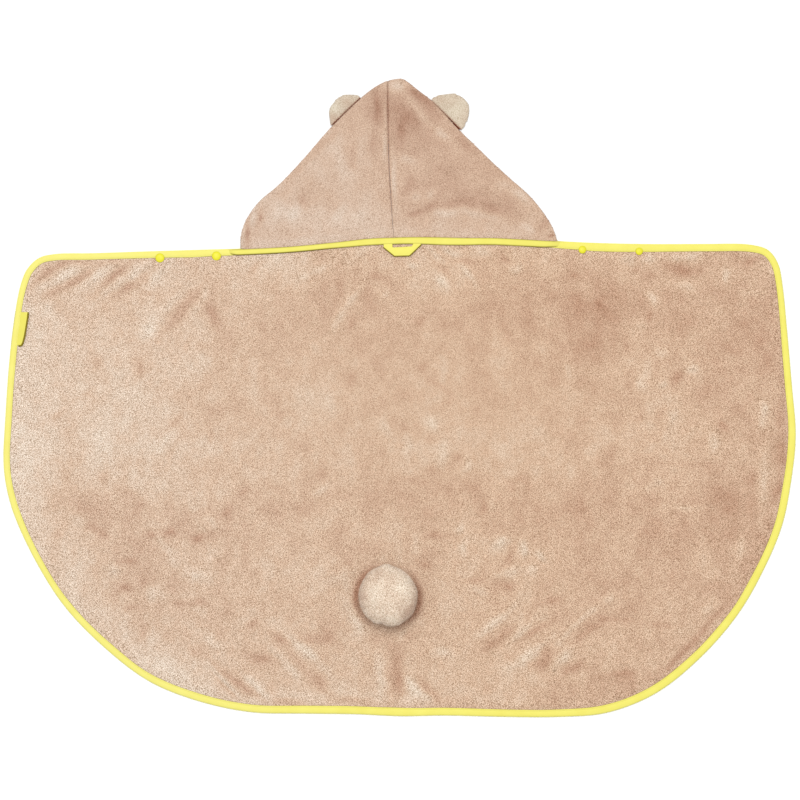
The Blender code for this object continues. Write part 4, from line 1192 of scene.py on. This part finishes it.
def applied(piece):
    """Makes the modifiers' result the piece's own mesh."""
    depsgraph = bpy.context.evaluated_depsgraph_get()
    mesh = bpy.data.meshes.new_from_object(piece.evaluated_get(depsgraph))
    piece.modifiers.clear()
    piece.data = mesh
    return piece


def subdivided(piece, levels):
    """Adds a Subdivision Surface and applies the piece's modifiers."""
    finer = piece.modifiers.new("finer", "SUBSURF")
    finer.levels = finer.render_levels = levels
    return applied(piece)


def finer_copy(name, source, levels, hold=0.8):
    """A rounded copy of a solid. Its sharp edges hold by this much."""
    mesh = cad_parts[source].data.copy()
    shape = bmesh.new()
    shape.from_mesh(mesh)
    bmesh.ops.remove_doubles(shape, verts=shape.verts, dist=WELD)
    bmesh.ops.join_triangles(
        shape,
        faces=shape.faces,
        angle_face_threshold=PAIR_FLATNESS,
        angle_shape_threshold=PAIR_SQUARENESS,
    )
    crease = shape.edges.layers.float.new("crease_edge")
    for side in shape.edges:
        if side.calc_face_angle(0) > SHARP:
            side[crease] = hold
    shape.to_mesh(mesh)
    shape.free()
    made = bpy.data.objects.new(name, mesh)
    scene.collection.objects.link(made)
    return subdivided(made, levels) if levels else made


def moved(piece, points):
    """Puts the mesh's points at these places, in millimetres."""
    piece.data.vertices.foreach_set("co", (np.asarray(points) * MM).ravel())
    piece.data.update()


def normals_of(mesh):
    """The way out of the surface at each of the mesh's points."""
    found = np.empty(len(mesh.vertices) * 3)
    mesh.vertices.foreach_get("normal", found)
    return found.reshape(-1, 3)


print("finer copies ready")

# %% [markdown]
# ## Roots on a curved surface
#
# A grid of roots suits flat cloth alone. On the hood, the ears and the tail, many random places
# are drawn on the faces, by area, and only the first in each cell of a grid is kept. That spreads
# them evenly, and takes far less time than measuring every distance.

# %% Scattered roots
TRIES_PER_CELL = 5


def scattered(mesh, spacing, seed):
    """Roots spread over a mesh, and the surface's normals there."""
    random = np.random.default_rng(seed)
    mesh.calc_loop_triangles()
    corners = np.array([t.vertices for t in mesh.loop_triangles])
    points, ups = in_mm(mesh), normals_of(mesh)
    a, b, c = (points[corners[:, k]] for k in range(3))
    area = np.linalg.norm(np.cross(b - a, c - a), axis=1) / 2
    many = int(area.sum() / spacing**2 * TRIES_PER_CELL)
    chosen = random.choice(len(corners), many, p=area / area.sum())
    u, v = random.uniform(0, 1, (2, many))
    over = u + v > 1
    u, v = np.where(over, 1 - u, u)[:, None], np.where(over, 1 - v, v)[:, None]
    places = a[chosen] * (1 - u - v) + b[chosen] * u + c[chosen] * v
    up = ups[corners[chosen]]
    up = up[:, 0] * (1 - u - v) + up[:, 1] * u + up[:, 2] * v
    up /= np.linalg.norm(up, axis=1)[:, None]
    cells = np.floor(places / spacing).astype(int)
    _, first = np.unique(cells, axis=0, return_index=True)
    return places[first], up[first]


def laid_over(normals, leaning):
    """The leaning directions, turned so that each lies flat on its surface."""
    flat = leaning - normals * (leaning * normals).sum(1)[:, None]
    return flat / np.maximum(np.linalg.norm(flat, axis=1), 1e-6)[:, None]


print("roots ready")

# %% [markdown]
# ## Creases and patches of the hood
#
# Each side of the hood folds round at its outline and is turned under, so its edge is a soft
# roll. The solids have that form already. What is added is what a hand leaves in it: a trough
# beside the seam near the tip, slanting lines below it, and the upright fold inside each corner
# at the neck. They are rows in tables, as on the cape.

# %% Creases of the hood
HOOD_CREASES = (
    # along the seam
    (-23, 383, 90, 44, 4, 1.9), (-21, 425, 92, 50, 3, 1.3), (-8, 325, 92, 70, 4, 1.6),
    (-35, 446, 90, 48, 5, -1.8), (-39, 384, 90, 48, 6, -1.3), (4, 405, 76, 60, 8, -1.3),
    # right side
    (32, 431, -46, 62, 7, 2.2), (66, 398, -40, 28, 7, 1.6), (28, 459, -40, 52, 6, -2.0),
    (102, 383, -40, 32, 7, -1.7), (12, 362, 0, 24, 7, 1.3), (70, 281, 5, 42, 6, 2.1),
    (108, 282, -10, 28, 6, 1.9), (138, 275, 0, 42, 5, 1.2), (85, 296, 5, 60, 7, -0.8),
    (140, 288, -10, 38, 7, -0.9), (20, 279, 20, 22, 5, -1.7), (42, 286, 25, 32, 5, -1.2),
    (26, 305, 10, 28, 8, 1.2), (48, 308, 60, 22, 6, 1.5), (15, 325, 60, 42, 7, -1.1),
    (180, 308, -40, 32, 7, 1.9), (155, 320, 20, 26, 7, 1.2), (194, 257, -20, 24, 5, 1.8),
    (220, 264, 65, 38, 7, -1.5), (230, 246, 0, 16, 5, -1.5),
    # left side
    (-212, 273, 82, 30, 6, -2.2), (-231, 252, 85, 26, 4, -1.8), (-226, 265, 80, 32, 4, 1.4),
    (-229, 250, 84, 56, 4, -1.0),
    (-180, 288, 80, 24, 9, 1.1), (-158, 281, 60, 28, 9, 1.3), (-90, 280, 60, 26, 8, 1.1),
    (-60, 278, 0, 24, 7, 1.0), (-147, 300, 80, 24, 7, -1.4), (-90, 365, 90, 64, 9, 0.8),
    (-70, 362, 90, 44, 7, -0.8), (-105, 396, 48, 34, 6, -1.4), (-130, 371, 45, 36, 6, -1.2),
    (-156, 344, 44, 42, 6, -1.2),
)
HOOD_PATCHES = (
    (-139, 277, 64, 15, 0, 0.30), (-60, 270, 40, 20, 0, 0.20), (168, 262, 55, 18, 0, 0.25),
    (-3, 472, 14, 8, 0, 0.60), (20, 418, 26, 12, 75, -0.30), (-60, 350, 40, 50, 0, 0.10),
    (150, 285, 60, 20, -20, -0.20), (-200, 262, 12, 30, 0, -0.15), (-30, 400, 20, 60, 0, -0.15),
    (110, 340, 100, 110, 0, -0.26), (-110, 340, 110, 110, 0, 0.14), (0, 440, 90, 40, 0, -0.28),
    (90, 262, 90, 16, 0, 0.30), (-211, 300, 30, 40, 0, 0.35), (-100, 262, 120, 16, 0, 0.15),
    (5, 420, 60, 50, 0, -0.22),
    # painted light along the neck tape, against the shade that the raised tape casts on the hood
    (-120, 240, 120, 7, 5, 0.35), (110, 247, 120, 7, -2, 0.30),
    # painted shade and a painted highlight along the fold in the hood's left corner at the neck
    (-229, 252, 28, 2.6, 84, -0.3), (-236, 250, 22, 3, 84, 0.3),
)
HOOD_CREASES = [Crease(*row) for row in HOOD_CREASES]
HOOD_PATCHES = [Patch(*row) for row in HOOD_PATCHES]
print(len(HOOD_CREASES), "creases,", len(HOOD_PATCHES), "patches")

# %% [markdown]
# ## Hood
#
# The two sides are sewn together down the back. The seam sinks between them as a fine dark line,
# which fades out towards the neck tape, and the rolled edge is painted deeper, as shade, where its
# surface turns down. The creases lift the copy's upper face, so the roll itself keeps its form, and
# their troughs and ridges are painted deeper and paler, as on the cape. The pile runs down and
# outwards from the tip on each side.

# %% Hood tone
SEAM = np.array(
    [(-9.0, 246.6), (-13.4, 309), (-16.1, 357), (-17.2, 410), (-18.1, 459), (-17.6, 479.4)]
)
SEAM_DEEP, SEAM_WIDE, SEAM_TONE = 0.5, 1.3, -0.9
SEAM_FADES_AT, SEAM_FADES_OVER = 262.0, 40.0
HOOD_STREAKS = (Hills(0.20, 34, 44, 41), Hills(0.17, 12, 17, 42))
HOOD_RIM_SHADE = -0.7


def at_seam(points):
    """1 on the hood's seam, 0 a few millimetres away from it."""
    away = points[:, 0] - np.interp(points[:, 1], SEAM[:, 1], SEAM[:, 0])
    past_neck = ease((points[:, 1] - SEAM_FADES_AT) / SEAM_FADES_OVER)
    return np.exp(-((away / SEAM_WIDE) ** 2)) * past_neck


def hood_tone(points, ups):
    """How the pile was brushed at each place, with the creases' painted shade and light, and painted
    shade where the surface turns down.
    """
    brushing = BRUSHED * brushed(points, HOOD_PATCHES) + hilly(points, *HOOD_STREAKS)
    sewn = SEAM_TONE * at_seam(points) + HOOD_RIM_SHADE * (1 - ease(ups[:, 2]))
    return brushing + crease_shading(points, HOOD_CREASES) + sewn


print("hood tone ready")

# %% Hood sides
HOOD_TUFT = TuftSize(base=0.75, length=2.6, rise=0.8, spread=0.35, contrast=0.11)
HOOD_SPACING, HOOD_GRAIN = 2.2, 0.62
HOOD_HOLD = 0.6
FLAT_FROM, FLAT_OVER, BACK_ABOVE = 0.1, 0.5, 3.0
HOOD_SUNK, HOOD_ROLLS = 0.7, 0.15
HOOD_SHOWN, NECK_COVERS = 0.2, -0.5
TOP_HALF = 300.0
upper = np.where(edge[:, 1] > CAPE_MIDDLE[1] + TOP_HALF)[0]
upper = upper[np.argsort(edge[upper, 0])]


def dressed_hood(side, bearing, seed):
    """One side of the hood, its cloth and its pile."""
    cloth = finer_copy(side + "_cloth", side, 2, hold=HOOD_HOLD)
    points, ups = in_mm(cloth.data), normals_of(cloth.data)
    above = ease((ups[:, 2] - FLAT_FROM) / FLAT_OVER) * (points[:, 2] > BACK_ABOVE)
    rolling = creased(points, HOOD_CREASES) + hilly(points, Hills(HOOD_ROLLS, 26, 26, seed))
    points[:, 2] += above * (rolling - HOOD_SUNK - SEAM_DEEP * at_seam(points))
    points[:, 2] = np.maximum(points[:, 2], 0.0)
    moved(cloth, points)
    carry_nap(cloth.data, points, hood_tone(points, ups), CLOTH_SHADE_DEPTH, HOOD_GRAIN)
    map_in_plan(cloth.data)
    dress(cloth, hood_plush, [side])

    roots, ups = scattered(cloth.data, HOOD_SPACING, seed + 1)
    neck = np.interp(roots[:, 0], edge[upper, 0], edge[upper, 1])
    shown = (ups[:, 2] > HOOD_SHOWN) & (roots[:, 1] > neck + NECK_COVERS)
    roots, ups = roots[shown], ups[shown]
    leaning = laid_over(ups, lying(roots, bearing, seed + 2))
    tones = hood_tone(roots, ups)
    pile = tufts(side + "_pile", roots, ups, leaning, tones, HOOD_TUFT, seed + 3, HOOD_GRAIN)
    dress(pile, hood_plush, smooth=False)
    return cloth, pile


hood_pieces = [dressed_hood("hood_left", -132, 50), dressed_hood("hood_right", -45, 60)]

# %% [markdown]
# ## Stuffing
#
# The ears and the tail are stuffed, so their form comes from a small simulation: a copy of the
# solid is remeshed in 3 mm cells, given cloth and an inner pressure, and let go for twenty steps
# without gravity. How far a point may move is capped, because the ears are sewn into the hood and
# the tail on to the cape. A light smoothing and one subdivision then take the cells away, and the
# result is fitted into the solid's box, less a little room for the pile.

# %% Stuffing
PAD_HOLD = 0.3
CELL = 3.0 * MM
PRESSURE, CLOTH_QUALITY, CLOTH_STEPS = 4.0, 6, 20
CALM, CALM_TIMES = 0.5, 2


def filled_out(pad, cap):
    """The pad's points after the simulation, none moved by more than the cap."""
    start = in_mm(pad.data)
    cloth = pad.modifiers.new("stuffing", "CLOTH")
    cloth.settings.use_pressure = True
    cloth.settings.uniform_pressure_force = PRESSURE
    cloth.settings.effector_weights.gravity = 0.0
    cloth.settings.quality = CLOTH_QUALITY
    for step in range(1, CLOTH_STEPS + 1):
        scene.frame_set(step)
    move = in_mm(applied(pad).data) - start
    scene.frame_set(1)
    far = np.linalg.norm(move, axis=1)[:, None]
    return start + move * np.minimum(1, cap / np.maximum(far, 1e-9))


def stuffed(name, source, inset, cap, ground):
    """The source's form, filled out and smoothed, in the source's box less an inset."""
    pad = finer_copy(name, source, 1, hold=PAD_HOLD)
    points = in_mm(pad.data)
    low, high = points.min(0) + inset, points.max(0) - inset
    cells = pad.modifiers.new("cells", "REMESH")
    cells.mode, cells.voxel_size = "VOXEL", CELL
    applied(pad)
    moved(pad, filled_out(pad, cap))
    calm = pad.modifiers.new("calm", "SMOOTH")
    calm.factor, calm.iterations = CALM, CALM_TIMES
    points = in_mm(subdivided(pad, 1).data)
    points = low + (points - points.min(0)) / np.ptp(points, axis=0) * (high - low)
    points[:, 2] = np.maximum(points[:, 2], ground)
    moved(pad, points)
    return pad


print("stuffing ready")

# %% [markdown]
# ## Ears
#
# Each ear is two rounds of plush with its straight side sewn into the hood's edge. That side is
# moved 3 mm into the hood, so that no gap shows, and the round side is pushed out or in by its
# bearing, since a sewn ear is never quite round. A lattice could do both, but a short table of
# bearings is easier to read and to change. The pile is short here, and a painted shadow darkens
# the ear along the line where it is sewn into the hood.

# %% Ear outline
EAR_TUCK = 3.0
EAR_MIDDLES = {"ear_left": (-78, 433), "ear_right": (76, 433)}
EAR_REACH = 28.0
EarSwell = namedtuple("EarSwell", "bearing out")
EAR_SWELLS = {
    "ear_left": (
        EarSwell(75, 0.0), EarSwell(100, -0.8), EarSwell(120, -1.8), EarSwell(140, -2.9),
        EarSwell(160, -2.0), EarSwell(180, 0.6), EarSwell(225, 0.0),
    ),
    "ear_right": (
        EarSwell(-45, 0.0), EarSwell(-15, 0.8), EarSwell(0, 1.7), EarSwell(40, 1.7),
        EarSwell(60, 0.6), EarSwell(75, 0.8), EarSwell(105, 0.0),
    ),
}


def shaped_ear(points, side, outward):
    """The ear's points, tucked into the hood and swelled by their bearing."""
    reach = points[:, :2] @ outward
    tucked = EAR_TUCK * (reach.max() - reach) / np.ptp(reach)
    points[:, :2] -= np.array(outward) * tucked[:, None]
    away = points[:, :2] - EAR_MIDDLES[side]
    bearing = np.degrees(np.arctan2(away[:, 1], away[:, 0])) % 360
    bearing = np.where(bearing > 270, bearing - 360, bearing)
    swell = np.interp(bearing, *np.transpose(EAR_SWELLS[side])) / EAR_REACH
    points[:, :2] += away * swell[:, None]
    return points


print("ear outline ready")

# %% Ears
EAR_INSET, EAR_CAP = 0.4, 1.0
EAR_PATCHES = (
    Patch(-99, 439, 10, 10, 0, 0.4),
    Patch(-101, 424, 8, 8, 0, -0.6),
    Patch(-75, 447, 9, 9, 0, -0.5),
    Patch(94, 440, 12, 12, 0, 0.3),
    Patch(61, 450, 9, 9, 0, -0.4),
    Patch(80, 447, 8, 8, 0, -0.2),
)
# The shell's low depth is painted shade under the pile, and the base's tone and depth paint a shadow
# along the sewn line.
EAR_TONE, EAR_BLOTCHES, EAR_GRAIN, EAR_SHADE_DEPTH = 0.78, 0.2, 0.5, 0.5
EAR_BASE_SHADOW, EAR_BASE_WIDE, EAR_BASE_IN, EAR_BASE_SHADOW_DEPTH = -3.4, 2.2, 1.6, 0.28
EAR_TUFT = TuftSize(base=0.7, length=1.6, rise=0.5, spread=1.0, contrast=0.05)
EAR_SPACING, EAR_SHOWN = 1.9, 0.25


def dressed_ear(side, outward, seed):
    """One ear, its cloth and its pile. outward is the way it points from the hood."""
    ear = stuffed(side + "_pad", side, EAR_INSET, EAR_CAP, 0.0)
    points = shaped_ear(in_mm(ear.data), side, outward)
    moved(ear, points)
    base = (points[:, :2] @ outward).min() + EAR_BASE_IN

    def at_base(places):
        return np.exp(-(((places[:, :2] @ outward - base) / EAR_BASE_WIDE) ** 2))

    def tone(places):
        blotches = hilly(places, Hills(EAR_BLOTCHES, 14, 14, seed + 1))
        return EAR_TONE + blotches + brushed(places, EAR_PATCHES) + EAR_BASE_SHADOW * at_base(places)

    # Painted shade on the shell, deepest as a painted shadow along the sewn base.
    depth = EAR_SHADE_DEPTH - EAR_BASE_SHADOW_DEPTH * at_base(points)
    carry_nap(ear.data, points, tone(points), depth, EAR_GRAIN)
    map_in_plan(ear.data)
    dress(ear, ear_plush, [side])

    roots, ups = scattered(ear.data, EAR_SPACING, seed + 2)
    roots, ups = roots[ups[:, 2] > EAR_SHOWN], ups[ups[:, 2] > EAR_SHOWN]
    leaning = laid_over(ups, lying(roots, -90, seed + 3))
    pile = tufts(side + "_pile", roots, ups, leaning, tone(roots), EAR_TUFT, seed + 4, EAR_GRAIN)
    dress(pile, ear_plush, smooth=False)
    return ear, pile


ears = [dressed_ear("ear_left", (-0.70, 0.72), 70)[0], dressed_ear("ear_right", (0.70, 0.72), 80)[0]]

# %% [markdown]
# ## Tail
#
# The tail is a ball gathered from one round of plush and sewn down, so it has a small peak at its
# upper end, where gathers meet, and dents where the stuffing isn't even. A sphere with noise
# would be as lumpy all round, so the dents are listed like the creases, and only on the
# upper part, because the foot is held by the sewing. Its pile stands every way, and on the whole
# outwards from the middle.

# %% Tail
TAIL_INSET, TAIL_CAP, TAIL_FOOT = 0.6, 2.0, 3.6
TAIL_WIDER, TAIL_LEFT = 0.035, 0.5
DENTS_FROM, DENTS_OVER = 18.0, 20.0
TAIL_DENTS = (
    Crease(-20, -257, 60, 14, 6, 4.0),
    Crease(-31, -268, 50, 30, 4, -2.0),
    Crease(-26, -343, 75, 22, 4, -1.9),
    Crease(-40, -325, 60, 36, 5, -2.0),
    Crease(6, -332, -45, 40, 6, -1.6),
    Crease(-46, -300, 20, 26, 6, -2.0),
    Crease(18, -290, -10, 26, 6, 1.6),
    Crease(-8, -302, 70, 30, 8, -1.5),
)
# Painted light and shade on the ball: the deeper patches shade its sides and lower right, the paler ones
# light it.
TAIL_LIGHT_AND_SHADE = (
    Patch(-60, -300, 8, 34, 0, -0.3),
    Patch(14, -326, 20, 10, 50, -0.7),
    Patch(25, -300, 7, 26, 0, -0.6),
    Patch(-38, -268, 14, 12, 0, -0.25),
    Patch(6, -285, 14, 20, 0, 0.5),
    Patch(-36, -302, 9, 22, 0, 0.4),
    Patch(-12, -332, 12, 9, 0, 0.4),
)
TAIL_BLOTCHES = (Hills(0.20, 13, 13, 91), Hills(0.17, 5, 5, 92))
DENT_SHADING, TAIL_RIM_SHADE, TAIL_RIM_UP = 0.08, -0.1, 0.6
# The tail's shell is painted in shade under the pile by its low depth.
TAIL_SHADE_DEPTH, TAIL_GRAIN = 0.4, 0.9


def tail_tone(points, ups):
    """The tone of the tail's pile: random blotches, the patches' painted light and shade, painted
    shade in a dent and light on a bump, and painted shade where the surface turns down.
    """
    blotches = hilly(points, *TAIL_BLOTCHES) + brushed(points, TAIL_LIGHT_AND_SHADE)
    rim = TAIL_RIM_SHADE * (1 - ease(ups[:, 2] / TAIL_RIM_UP))
    return blotches + DENT_SHADING * creased(points, TAIL_DENTS) + rim


tail = stuffed("tail_ball", "tail", TAIL_INSET, TAIL_CAP, TAIL_FOOT)
points, ups = in_mm(tail.data), normals_of(tail.data)
points[:, 0] += TAIL_WIDER * (points[:, 0] - TAIL_MIDDLE[0]) - TAIL_LEFT
high = ease((points[:, 2] - DENTS_FROM) / DENTS_OVER)
points += ups * (creased(points, TAIL_DENTS) * high)[:, None]
moved(tail, points)
tone = tail_tone(points, normals_of(tail.data))
carry_nap(tail.data, points, tone, TAIL_SHADE_DEPTH, TAIL_GRAIN)
map_in_plan(tail.data)
dress(tail, cream_plush, ["tail"])

# %% Tail pile
TAIL_TUFT = TuftSize(base=0.8, length=2.2, rise=0.8, spread=1.1, contrast=0.10)
TAIL_SPACING, TAIL_PILE_FROM = 1.9, 5.0
TAIL_SWIRL = 14.0

roots, ups = scattered(tail.data, TAIL_SPACING, 93)
shown = roots[:, 2] > TAIL_PILE_FROM
roots, ups = roots[shown], ups[shown]
outward = (roots - points.mean(0)) * (1, 1, 0)
swirl = [smooth_random(roots, 9, 9, 94), smooth_random(roots, 9, 9, 95), np.zeros(len(roots))]
combed_down = laid_over(ups, outward + TAIL_SWIRL * np.column_stack(swirl))
tones = tail_tone(roots, ups)
tail_pile = tufts("tail_pile", roots, ups, combed_down, tones, TAIL_TUFT, 96, TAIL_GRAIN)
dress(tail_pile, cream_plush, smooth=False)

# %% [markdown]
# ## Neck tape's course
#
# The neck tape covers the seam between hood and cape. Its two long edges are read from the solid,
# and then given what sewing leaves in it: it sags in the middle, lifts again to the right, is a
# little wider past the loop and slimmer to the left. Where it runs out at each end it tapers to
# its upper edge.

# %% Neck tape's course
NECK_STEP, NECK_RIGHT_SHORT = 4.0, 9.0
SLIM_LEFT, SLIM_TO, SLIM_OVER = 0.86, -100.0, 60.0
NECK_SAG, SAG_FROM, NECK_LIFT, LIFT_FROM, SAG_OVER = 1.8, -60.0, 1.5, 90.0, 60.0
NECK_WIDER, WIDER_AT, WIDER_OVER = 1.3, 72.0, 40.0
NECK_TAPER, NECK_TAPER_LONG, NECK_LEFT_SOONER = 3.4, 40.0, 2.2
neck_solid = in_mm(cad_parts["neck_binding"].data)
places = np.unique(neck_solid[:, 0].round(2))
at_places = [neck_solid[np.abs(neck_solid[:, 0] - x) < 0.1, 1] for x in places]
neck_x = np.arange(places[0], places[-1] - NECK_RIGHT_SHORT, NECK_STEP)
neck_high = np.interp(neck_x, places, [ys.max() for ys in at_places])
neck_low = np.interp(neck_x, places, [ys.min() for ys in at_places])

slim = SLIM_LEFT + (1 - SLIM_LEFT) * ease((neck_x - SLIM_TO) / SLIM_OVER)
sag = NECK_SAG * ease((neck_x - SAG_FROM) / SAG_OVER)
sag = sag - NECK_LIFT * ease((neck_x - LIFT_FROM) / SAG_OVER)
half_more = NECK_WIDER * np.exp(-(((neck_x - WIDER_AT) / WIDER_OVER) ** 2))
middle, half = (neck_high + neck_low) / 2 - sag, (neck_high - neck_low) / 2 * slim
neck_high, neck_low = middle + half, middle - half - half_more
to_end = np.minimum((neck_x - places[0]) * NECK_LEFT_SOONER, neck_x[-1] - neck_x)
neck_low = neck_low + NECK_TAPER * (1 - ease(to_end / NECK_TAPER_LONG))
print(f"neck tape {np.ptp(neck_x):.0f} mm, up to {(neck_high - neck_low).max():.1f} mm wide")

# %% [markdown]
# ## Neck tape
#
# The tape is swept along that course and sinks into the pile at each end. Its lower edge lies on
# the cape and draws a dark line where no light gets under it, but where the tape was pressed flat
# the line is gone, so a short table says how dark it is along the tape.

# %% Neck tape
# Each place's light is painted shade: deeper along the upper edge, where the hood rises beside the tape,
# and along the lower edge on the cape. The whole tape is dimmed a little towards the fold's olive, and
# its ends take one even light.
NECK_SECTION = (
    TapePlace(0.0, 0.0, 6.4, 0.4),
    TapePlace(0.0, 0.3, 7.1, 0.55),
    TapePlace(0.0, 1.3, 7.5, 0.85),
    TapePlace(0.0, 2.5, 7.8, 1.0),
    TapePlace(0.5, 0.0, 7.95, 1.0),
    TapePlace(1.0, -1.4, 7.7, 1.0),
    TapePlace(1.0, -0.6, 7.3, 0.9),
    TapePlace(1.0, 0.0, 6.4, 0.35),
    TapePlace(1.0, 1.2, 4.9, 0.15),
    TapePlace(1.0, -0.6, 4.9, 0.15),
    TapePlace(1.0, -0.9, 6.5, 0.3),
    TapePlace(0.5, 0.0, 6.55, 0.3),
    TapePlace(0.0, 0.6, 6.5, 0.3),
)
LOWER_EDGE = slice(5, 12)
ShadeAt = namedtuple("ShadeAt", "x share")
SHADE_ALONG = (
    ShadeAt(-120, 1.0), ShadeAt(-85, 0.2), ShadeAt(175, 0.1),
    ShadeAt(205, 0.7), ShadeAt(225, 0.7), ShadeAt(245, 0.2),
)
NECK_SINKS_OVER, NECK_SUNK_TO, NECK_WAVERS = 30.0, 3.5, 0.1
NECK_LIGHT, NECK_END_LIGHT, NECK_FADE = 0.95, 0.85, 34.0

sinking = ease(to_end / NECK_SINKS_OVER)
sections = np.empty((len(neck_x), len(NECK_SECTION), 3))
for number, place in enumerate(NECK_SECTION):
    rise = place.height - NECK_SUNK_TO + NECK_WAVERS * waver(neck_x, number, 33)
    sections[:, number, 0] = neck_x
    sections[:, number, 1] = neck_high + (neck_low - neck_high) * place.share - place.inset
    sections[:, number, 2] = NECK_SUNK_TO + rise * sinking
light = NECK_LIGHT * np.tile([place.light for place in NECK_SECTION], (len(neck_x), 1))
shade = np.interp(neck_x, *np.transpose(SHADE_ALONG))[:, None]
light[:, LOWER_EDGE] = 1 - (1 - light[:, LOWER_EDGE]) * shade
light += (NECK_END_LIGHT - light) * (1 - ease(to_end / NECK_FADE))[:, None]
neck_tape = swept("neck_tape", sections, light, closed=False)
dress(neck_tape, tape_cloth, ["neck_binding"])

# %% [markdown]
# ## Hanging loop and label
#
# Both are short lengths of the same ribbon, and both solids have the right form already. A copy
# with rounded edges is enough for the ribbon, but not for the dark line of shade along its folded
# edge: a shade painted on so narrow a side would be lost. So each gets a thin cord along that
# edge, half sunk in the ribbon and coloured wholly in the fold's painted shade, as a painted
# shadow line. The label's lettering isn't made.

# %% Loop and label
EDGE_ROUND, EDGE_ROUNDS, EDGE_TURN = 0.3 * MM, 3, radians(25)
CORD_STEP, CORD_FLAT, CORD_SIDES = 2.0, 0.6, 8
LOOP_EDGE = ((-24.6, 228.0, 5.9), (-7.8, 214.5, 5.9), (15.0, 215.0, 5.9), (32.9, 232.0, 5.9))
LABEL_EDGE = (
    (-562.2, 129.4, 6.0), (-563.1, 120.0, 6.8), (-565.0, 108.0, 7.2), (-567.4, 94.0, 7.2),
    (-569.9, 84.0, 6.6), (-572.1, 79.3, 6.1), (-574.6, 78.7, 5.3), (-577.3, 78.7, 4.7),
)
LOOP_SHADOW_CORD, LABEL_SHADOW_CORD = 0.95, 1.35


def ribbon(name, source, material, bearing=0.0):
    """A copy with rounded edges, all of it in the light, its ribs across this bearing."""
    made = finer_copy(name, source, 0)
    carry(made.data, "depth", np.ones(len(made.data.vertices)))
    rounded = made.modifiers.new("rounded", "BEVEL")
    rounded.width, rounded.segments = EDGE_ROUND, EDGE_ROUNDS
    rounded.limit_method, rounded.angle_limit = "ANGLE", EDGE_TURN
    applied(made)
    run = np.column_stack(turned(in_mm(made.data)[:, :2] * MM, 0, 0, bearing))
    map_corners(made.data, "run", run)
    return dress(made, material, [source])


def shadow_cord(name, path, radius):
    """A painted shadow line along a path: a flattened tube in the fold's painted shade."""
    path = np.array(path)
    run = run_along(path)
    centres = places_at(path, run, np.linspace(0, run[-1], round(run[-1] / CORD_STEP) + 1))
    ahead = np.gradient(centres, axis=0)
    side = np.column_stack([-ahead[:, 1], ahead[:, 0], np.zeros(len(ahead))])
    side /= np.linalg.norm(side, axis=1)[:, None]
    turns = 2 * pi * np.arange(CORD_SIDES) / CORD_SIDES
    wide, tall = np.cos(turns)[None, :, None], np.sin(turns)[None, :, None]
    up = np.array([0.0, 0.0, CORD_FLAT])
    sections = centres[:, None] + radius * (side[:, None] * wide + up * tall)
    made = swept(name, sections, np.zeros(CORD_SIDES), closed=False)
    return dress(made, tape_cloth)


ribbon("loop_ribbon", "hanging_loop", tape_cloth)
shadow_cord("loop_shadow_line", LOOP_EDGE, LOOP_SHADOW_CORD)
label = ribbon("label_ribbon", "side_label", label_cloth, 90)
label_shadow_line = shadow_cord("label_shadow_line", LABEL_EDGE, LABEL_SHADOW_CORD)

# %% [markdown]
# ## Press studs
#
# Each stud is a cap above the cloth and a foot below it, joined by a short stem. All of it is
# round, so one section turned about the upright axis makes it. The cap is a low dome. The two
# studs at the right are smaller, so the whole section is scaled in width for them. Each stands
# in the middle of its solid's box.

# %% Studs
StudPlace = namedtuple("StudPlace", "radius height")
STUD_SECTION = (
    StudPlace(0.01, 6.50),
    StudPlace(2.4, 6.42),
    StudPlace(4.2, 6.18),
    StudPlace(5.4, 5.82),
    StudPlace(6.2, 5.42),
    StudPlace(6.7, 5.02),
    StudPlace(6.9, 4.70),
    StudPlace(2.0, 4.70),
    StudPlace(2.0, 1.2),
    StudPlace(5.8, 1.2),
    StudPlace(5.8, 0.0),
    StudPlace(0.01, 0.0),
)
STUD_SIDES = 48
STUD_SHARES = {
    "snap_left_outer": 1.0,
    "snap_left_inner": 1.0,
    "snap_right_inner": 0.85,
    "snap_right_outer": 0.82,
}


def turned_stud(source, share):
    """The section, its radii times a share, turned about the middle of the source's box."""
    low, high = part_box(source)
    x, y = (low.x + high.x) / 2 / MM, (low.y + high.y) / 2 / MM
    points, faces = [], []
    for place in STUD_SECTION:
        radius = place.radius * share
        for turn in 2 * pi * np.arange(STUD_SIDES) / STUD_SIDES:
            points.append((x + radius * cos(turn), y + radius * sin(turn), place.height))
    for ring in range(len(STUD_SECTION) - 1):
        for k in range(STUD_SIDES):
            a, b = ring * STUD_SIDES + k, ring * STUD_SIDES + (k + 1) % STUD_SIDES
            faces.append((a, a + STUD_SIDES, b + STUD_SIDES, b))
    last = len(points) - STUD_SIDES
    faces += [tuple(range(STUD_SIDES)), tuple(range(last + STUD_SIDES - 1, last - 1, -1))]
    stud = put_in_scene(source.replace("snap", "stud"), points, faces)
    return dress(stud, plastic, [source])


studs = [turned_stud(source, share) for source, share in STUD_SHARES.items()]

# %% [markdown]
# ## Facts of the cloth
#
# The hood's sides are cuts that fold under at their outline, so each is larger than what shows
# of it. The ears hold little stuffing, the tail much. The last cell only prints a closing line.

# %% Closing line
print("all pieces built")
